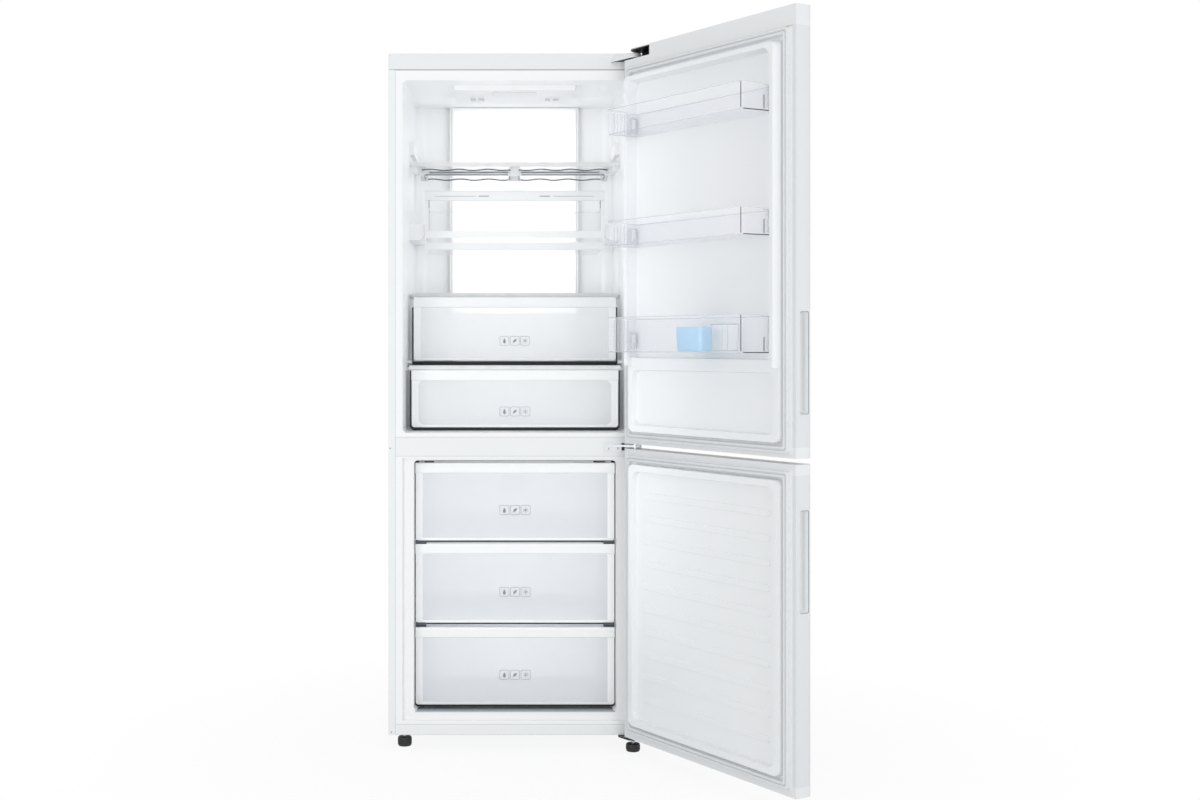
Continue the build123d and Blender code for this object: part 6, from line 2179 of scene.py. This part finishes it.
# Four lamps light the whole object, from both sides of the camera, the right and above. The
# fills stand inside the compartments and in front of the drawers, the bins and the grips.
LAMPS = (
    Softbox("left_softbox", (-2.5, -4.5, 1.2), (-0.1, 0.0, 0.95), (1.6, 2.2), 46),
    Softbox("right_softbox", (2.1, -4.6, 1.2), (-0.1, 0.0, 0.95), (1.6, 2.2), 35),
    Softbox("side_softbox", (2.9, -2.2, 1.6), (0.0, 0.0, 0.9), (1.6, 2.2), 8),
    Softbox("top_softbox", (-0.2, -0.9, 3.4), (-0.1, 0.1, 0.9), (2.4, 1.6), 5),
    Softbox(
        "back_fill", (MIDDLE_X, 0.29, 1.35), (MIDDLE_X, 0.5, 1.35), (0.56, 0.92), 0.7, FRIDGE_LINING
    ),
    Softbox(
        "left_wall_fill", (MIDDLE_X, 0.2, 1.35), (-0.5, 0.2, 1.35), (0.36, 0.93), 0.5, FRIDGE_LINING
    ),
    Softbox(
        "right_wall_fill", (MIDDLE_X, 0.2, 1.35), (0.2, 0.2, 1.35), (0.36, 0.93), 0.4, FRIDGE_LINING
    ),
    Softbox(
        "ceiling_fill", (MIDDLE_X, 0.2, 1.5), (MIDDLE_X, 0.21, 1.83), (0.5, 0.3), 0.22, FRIDGE_LINING
    ),
    Softbox(
        "panel_fill", (MIDDLE_X, 0.29, 1.35), (MIDDLE_X, 0.5, 1.35), (0.5, 0.92), 1.5, DUCT_PARTS
    ),
    Softbox(
        "drawer_fill", (MIDDLE_X, -1.1, 0.85), (MIDDLE_X, 0.05, 0.72), (0.7, 0.8), 3.2, DRAWER_PARTS
    ),
    Softbox(
        "freezer_fill",
        (MIDDLE_X, 0.062, 0.447),
        (MIDDLE_X, 0.5, 0.447),
        (0.5, 0.64),
        1.15,
        FREEZER_PARTS,
    ),
    Softbox(
        "crisper_fill", (MIDDLE_X, 0.195, 1.05), (MIDDLE_X, 0.5, 1.05), (0.5, 0.34), 0.3, DRAWER_PARTS
    ),
    Softbox("bin_fill", (-0.05, -0.95, 1.4), (0.4, -0.35, 1.4), (0.4, 0.9), 1.6, BIN_PARTS),
    Softbox("grip_fill", (0.909, -1.295, 0.83), (0.497, -0.61, 0.83), (0.5, 1.0), 0.3, GRIPS),
    Softbox(
        "hinge_side_fill", (-0.06, -0.24, 1.1), (0.181, -0.083, 1.1), (0.1, 1.4), 0.5, DOOR_LININGS
    ),
)


@dataclass
class Studio:
    """The camera at the photograph's place, soft lamps, a pale floor and a white backdrop.

    The clear pieces lie many deep, so a ray may pass more of them than Cycles allows by
    default.
    """

    picture_px: tuple[int, int] = (1200, 800)
    vanishing_point_px: Flat = (506.0, 345.0)
    focal_px: float = 1579.0
    camera_place: Point = (-0.2018, -4.33, 1.108)
    sensor_mm: float = 36.0
    ambient: float = 0.64
    floor_size: float = 60.0
    floor_fade: Flat = (0.3, 1.5)
    floor_glow: float = 0.88
    clear_layers: int = 48

    def build(self) -> None:
        """Sets up the whole studio."""
        self.place_camera()
        self.light_world()
        self.lay_floor()
        for lamp in LAMPS:
            lamp.build()
        bpy.context.scene.view_settings.view_transform = "Standard"
        bpy.context.scene.cycles.transparent_max_bounces = self.clear_layers
        LOG.info("set up the camera, the floor and %d lamps", len(LAMPS))

    def place_camera(self) -> None:
        """The camera stands level, with the shift that the photograph's framing needs."""
        width, height = self.picture_px
        camera = bpy.data.cameras.new("camera")
        camera.sensor_width = self.sensor_mm
        camera.lens = self.focal_px * self.sensor_mm / width
        camera.shift_x = (width / 2 - self.vanishing_point_px[0]) / width
        camera.shift_y = (self.vanishing_point_px[1] - height / 2) / width
        stand = bpy.data.objects.new("camera", camera)
        stand.location = self.camera_place
        stand.rotation_euler = (math.radians(90), 0, 0)
        bpy.context.scene.collection.objects.link(stand)
        bpy.context.scene.camera = stand

    def seen_rays(self, tree: bpy.types.NodeTree) -> bpy.types.NodeSocket:
        """Tells the rays that show the backdrop from those that light the object.

        Args:
            tree: the nodes of the world or of a material.

        Returns:
            1 for a ray of sight, in a gloss or through glass, and 0 for any other.
        """
        path = add_node(tree, "LightPath")
        seen = path.outputs["Is Camera Ray"]
        for kind in ("Is Glossy Ray", "Is Transmission Ray"):
            seen = add_node(
                tree, "Math", {"operation": "MAXIMUM"}, {0: seen, 1: path.outputs[kind]}
            ).outputs[0]
        return seen

    def light_world(self) -> None:
        """A white backdrop for what sees it, and a plain ambient light."""
        world = bpy.data.worlds.new("studio")
        bpy.context.scene.world = world
        world.use_nodes = True
        tree = world.node_tree
        tree.nodes.clear()
        seen = self.seen_rays(tree)
        strength = add_node(tree, "MapRange", between(self.ambient, 1), {"Value": seen}).outputs[0]
        sky = add_node(tree, "Background", {"Color": linear("#FFFFFF")}, {"Strength": strength})
        add_node(tree, "OutputWorld", links={"Surface": sky.outputs[0]})

    def lay_floor(self) -> None:
        """A white floor that fades into the backdrop and keeps a faint shadow."""
        mesh = bpy.data.meshes.new("floor")
        half = self.floor_size / 2
        corners = [(-half, -half, 0), (half, -half, 0), (half, half, 0), (-half, half, 0)]
        mesh.from_pydata(corners, [], [(0, 1, 2, 3)])
        floor = bpy.data.objects.new("floor", mesh)
        bpy.context.scene.collection.objects.link(floor)
        material = bpy.data.materials.new("matt_white_floor")
        material.use_nodes = True
        tree = material.node_tree
        tree.nodes.clear()
        paint = add_node(tree, "BsdfDiffuse", {"Color": linear("#F2F2F2")})
        glow = add_node(tree, "Emission", {"Color": linear("#FFFFFF"), "Strength": 1.0})
        spot = add_node(tree, "TexCoord").outputs["Object"]
        reach = add_node(tree, "VectorMath", {"operation": "LENGTH"}, {0: spot}).outputs["Value"]
        ends = between(self.floor_glow, 1, *self.floor_fade)
        fade = add_node(tree, "MapRange", ends, {"Value": reach}).outputs[0]
        share = add_node(
            tree, "Math", {"operation": "MULTIPLY"}, {0: fade, 1: self.seen_rays(tree)}
        ).outputs[0]
        shaders = {0: share, 1: paint.outputs[0], 2: glow.outputs[0]}
        mixed = add_node(tree, "MixShader", links=shaders)
        add_node(tree, "OutputMaterial", links={"Surface": mixed.outputs[0]})
        mesh.materials.append(material)


# ---------------------------------------------------------------- the whole
PIECES = (
    WineRack(),
    DeliDrawer(
        name="deli_drawer",
        half=260,
        low=1383,
        high=1555,
        front=240,
        length=243,
        window=BIN_CLEAR,
        bead_finish=BIN_CLEAR,
        side_border=4.0,
        low_border=22.0,
        window_corner=3.0,
        side_step=2.0,
    ),
    Drawer(
        name="crisper_drawer",
        half=288,
        low=1064,
        high=1245,
        front=180,
        length=303,
        window=HAZED_WINDOW,
        sign_level=1120.0,
    ),
    Drawer(
        name="chill_drawer",
        half=290,
        low=877,
        high=1038,
        front=110,
        length=373,
        window=HAZED_WINDOW,
        window_corner=16.0,
        sign_level=921.0,
        haze=0.2,
    ),
    FreezerDrawer(name="top_freezer_drawer", low=566, high=782, length=408, sign_level=650.0),
    FreezerDrawer(name="middle_freezer_drawer", low=338, high=558, length=408, sign_level=423.0),
    FreezerDrawer(name="lowest_freezer_drawer", low=111, high=326, length=323, sign_level=193.0),
    GapShadeAndStops(),
    Seams(),
    DuctStrips(),
    VentGrille(),
    DoorSeal("upper_door", 869, 1842),
    DoorSeal("lower_door", 76, 792),
    DoorBin("upper_bin", 1665, 1732),
    DoorBin("middle_bin", 1369, 1436),
    DoorBin("lower_bin", 1089, 1182),
    SmallTray(
        name="blue_tray",
        centre=(-41.0, 50.0),
        width=102,
        depth=46,
        corner=10,
        low=1091.5,
        height=62,
        finish=TRAY_BLUE,
        rim_finish=TRAY_BLUE,
        dividers=(-17.0, 17.0),
        slot="light_blue_plastic",
    ),
    SmallTray(
        name="clear_tray",
        centre=(-153.0, 44.0),
        width=76,
        depth=48,
        corner=20,
        low=1091.5,
        height=68,
        finish=TRAY_CLEAR,
        # The grey rim and lines paint the shade on the clear tray's edges.
        rim_finish=PRINT_AND_SHADE_GREY,
    ),
    GripCup("upper_door", 1066.0),
    GripCup("lower_door", 596.0),
    HingePocket(),
    HingeCover(),
    HingeBush(),
    LevellingFoot("left_foot", (-305.0, 41.0), 26.0, 59.5),
    LevellingFoot("right_foot", (321.6, -20.0), 22.0, 38.0),
    Screws(),
)


def main() -> None:
    """Builds every piece in order."""
    logging.basicConfig(level=logging.INFO, format="%(name)s: %(message)s")
    dress_nodes()
    for piece in PIECES:
        piece.build()
    Studio().build()


if __name__ == "__main__":
    main()
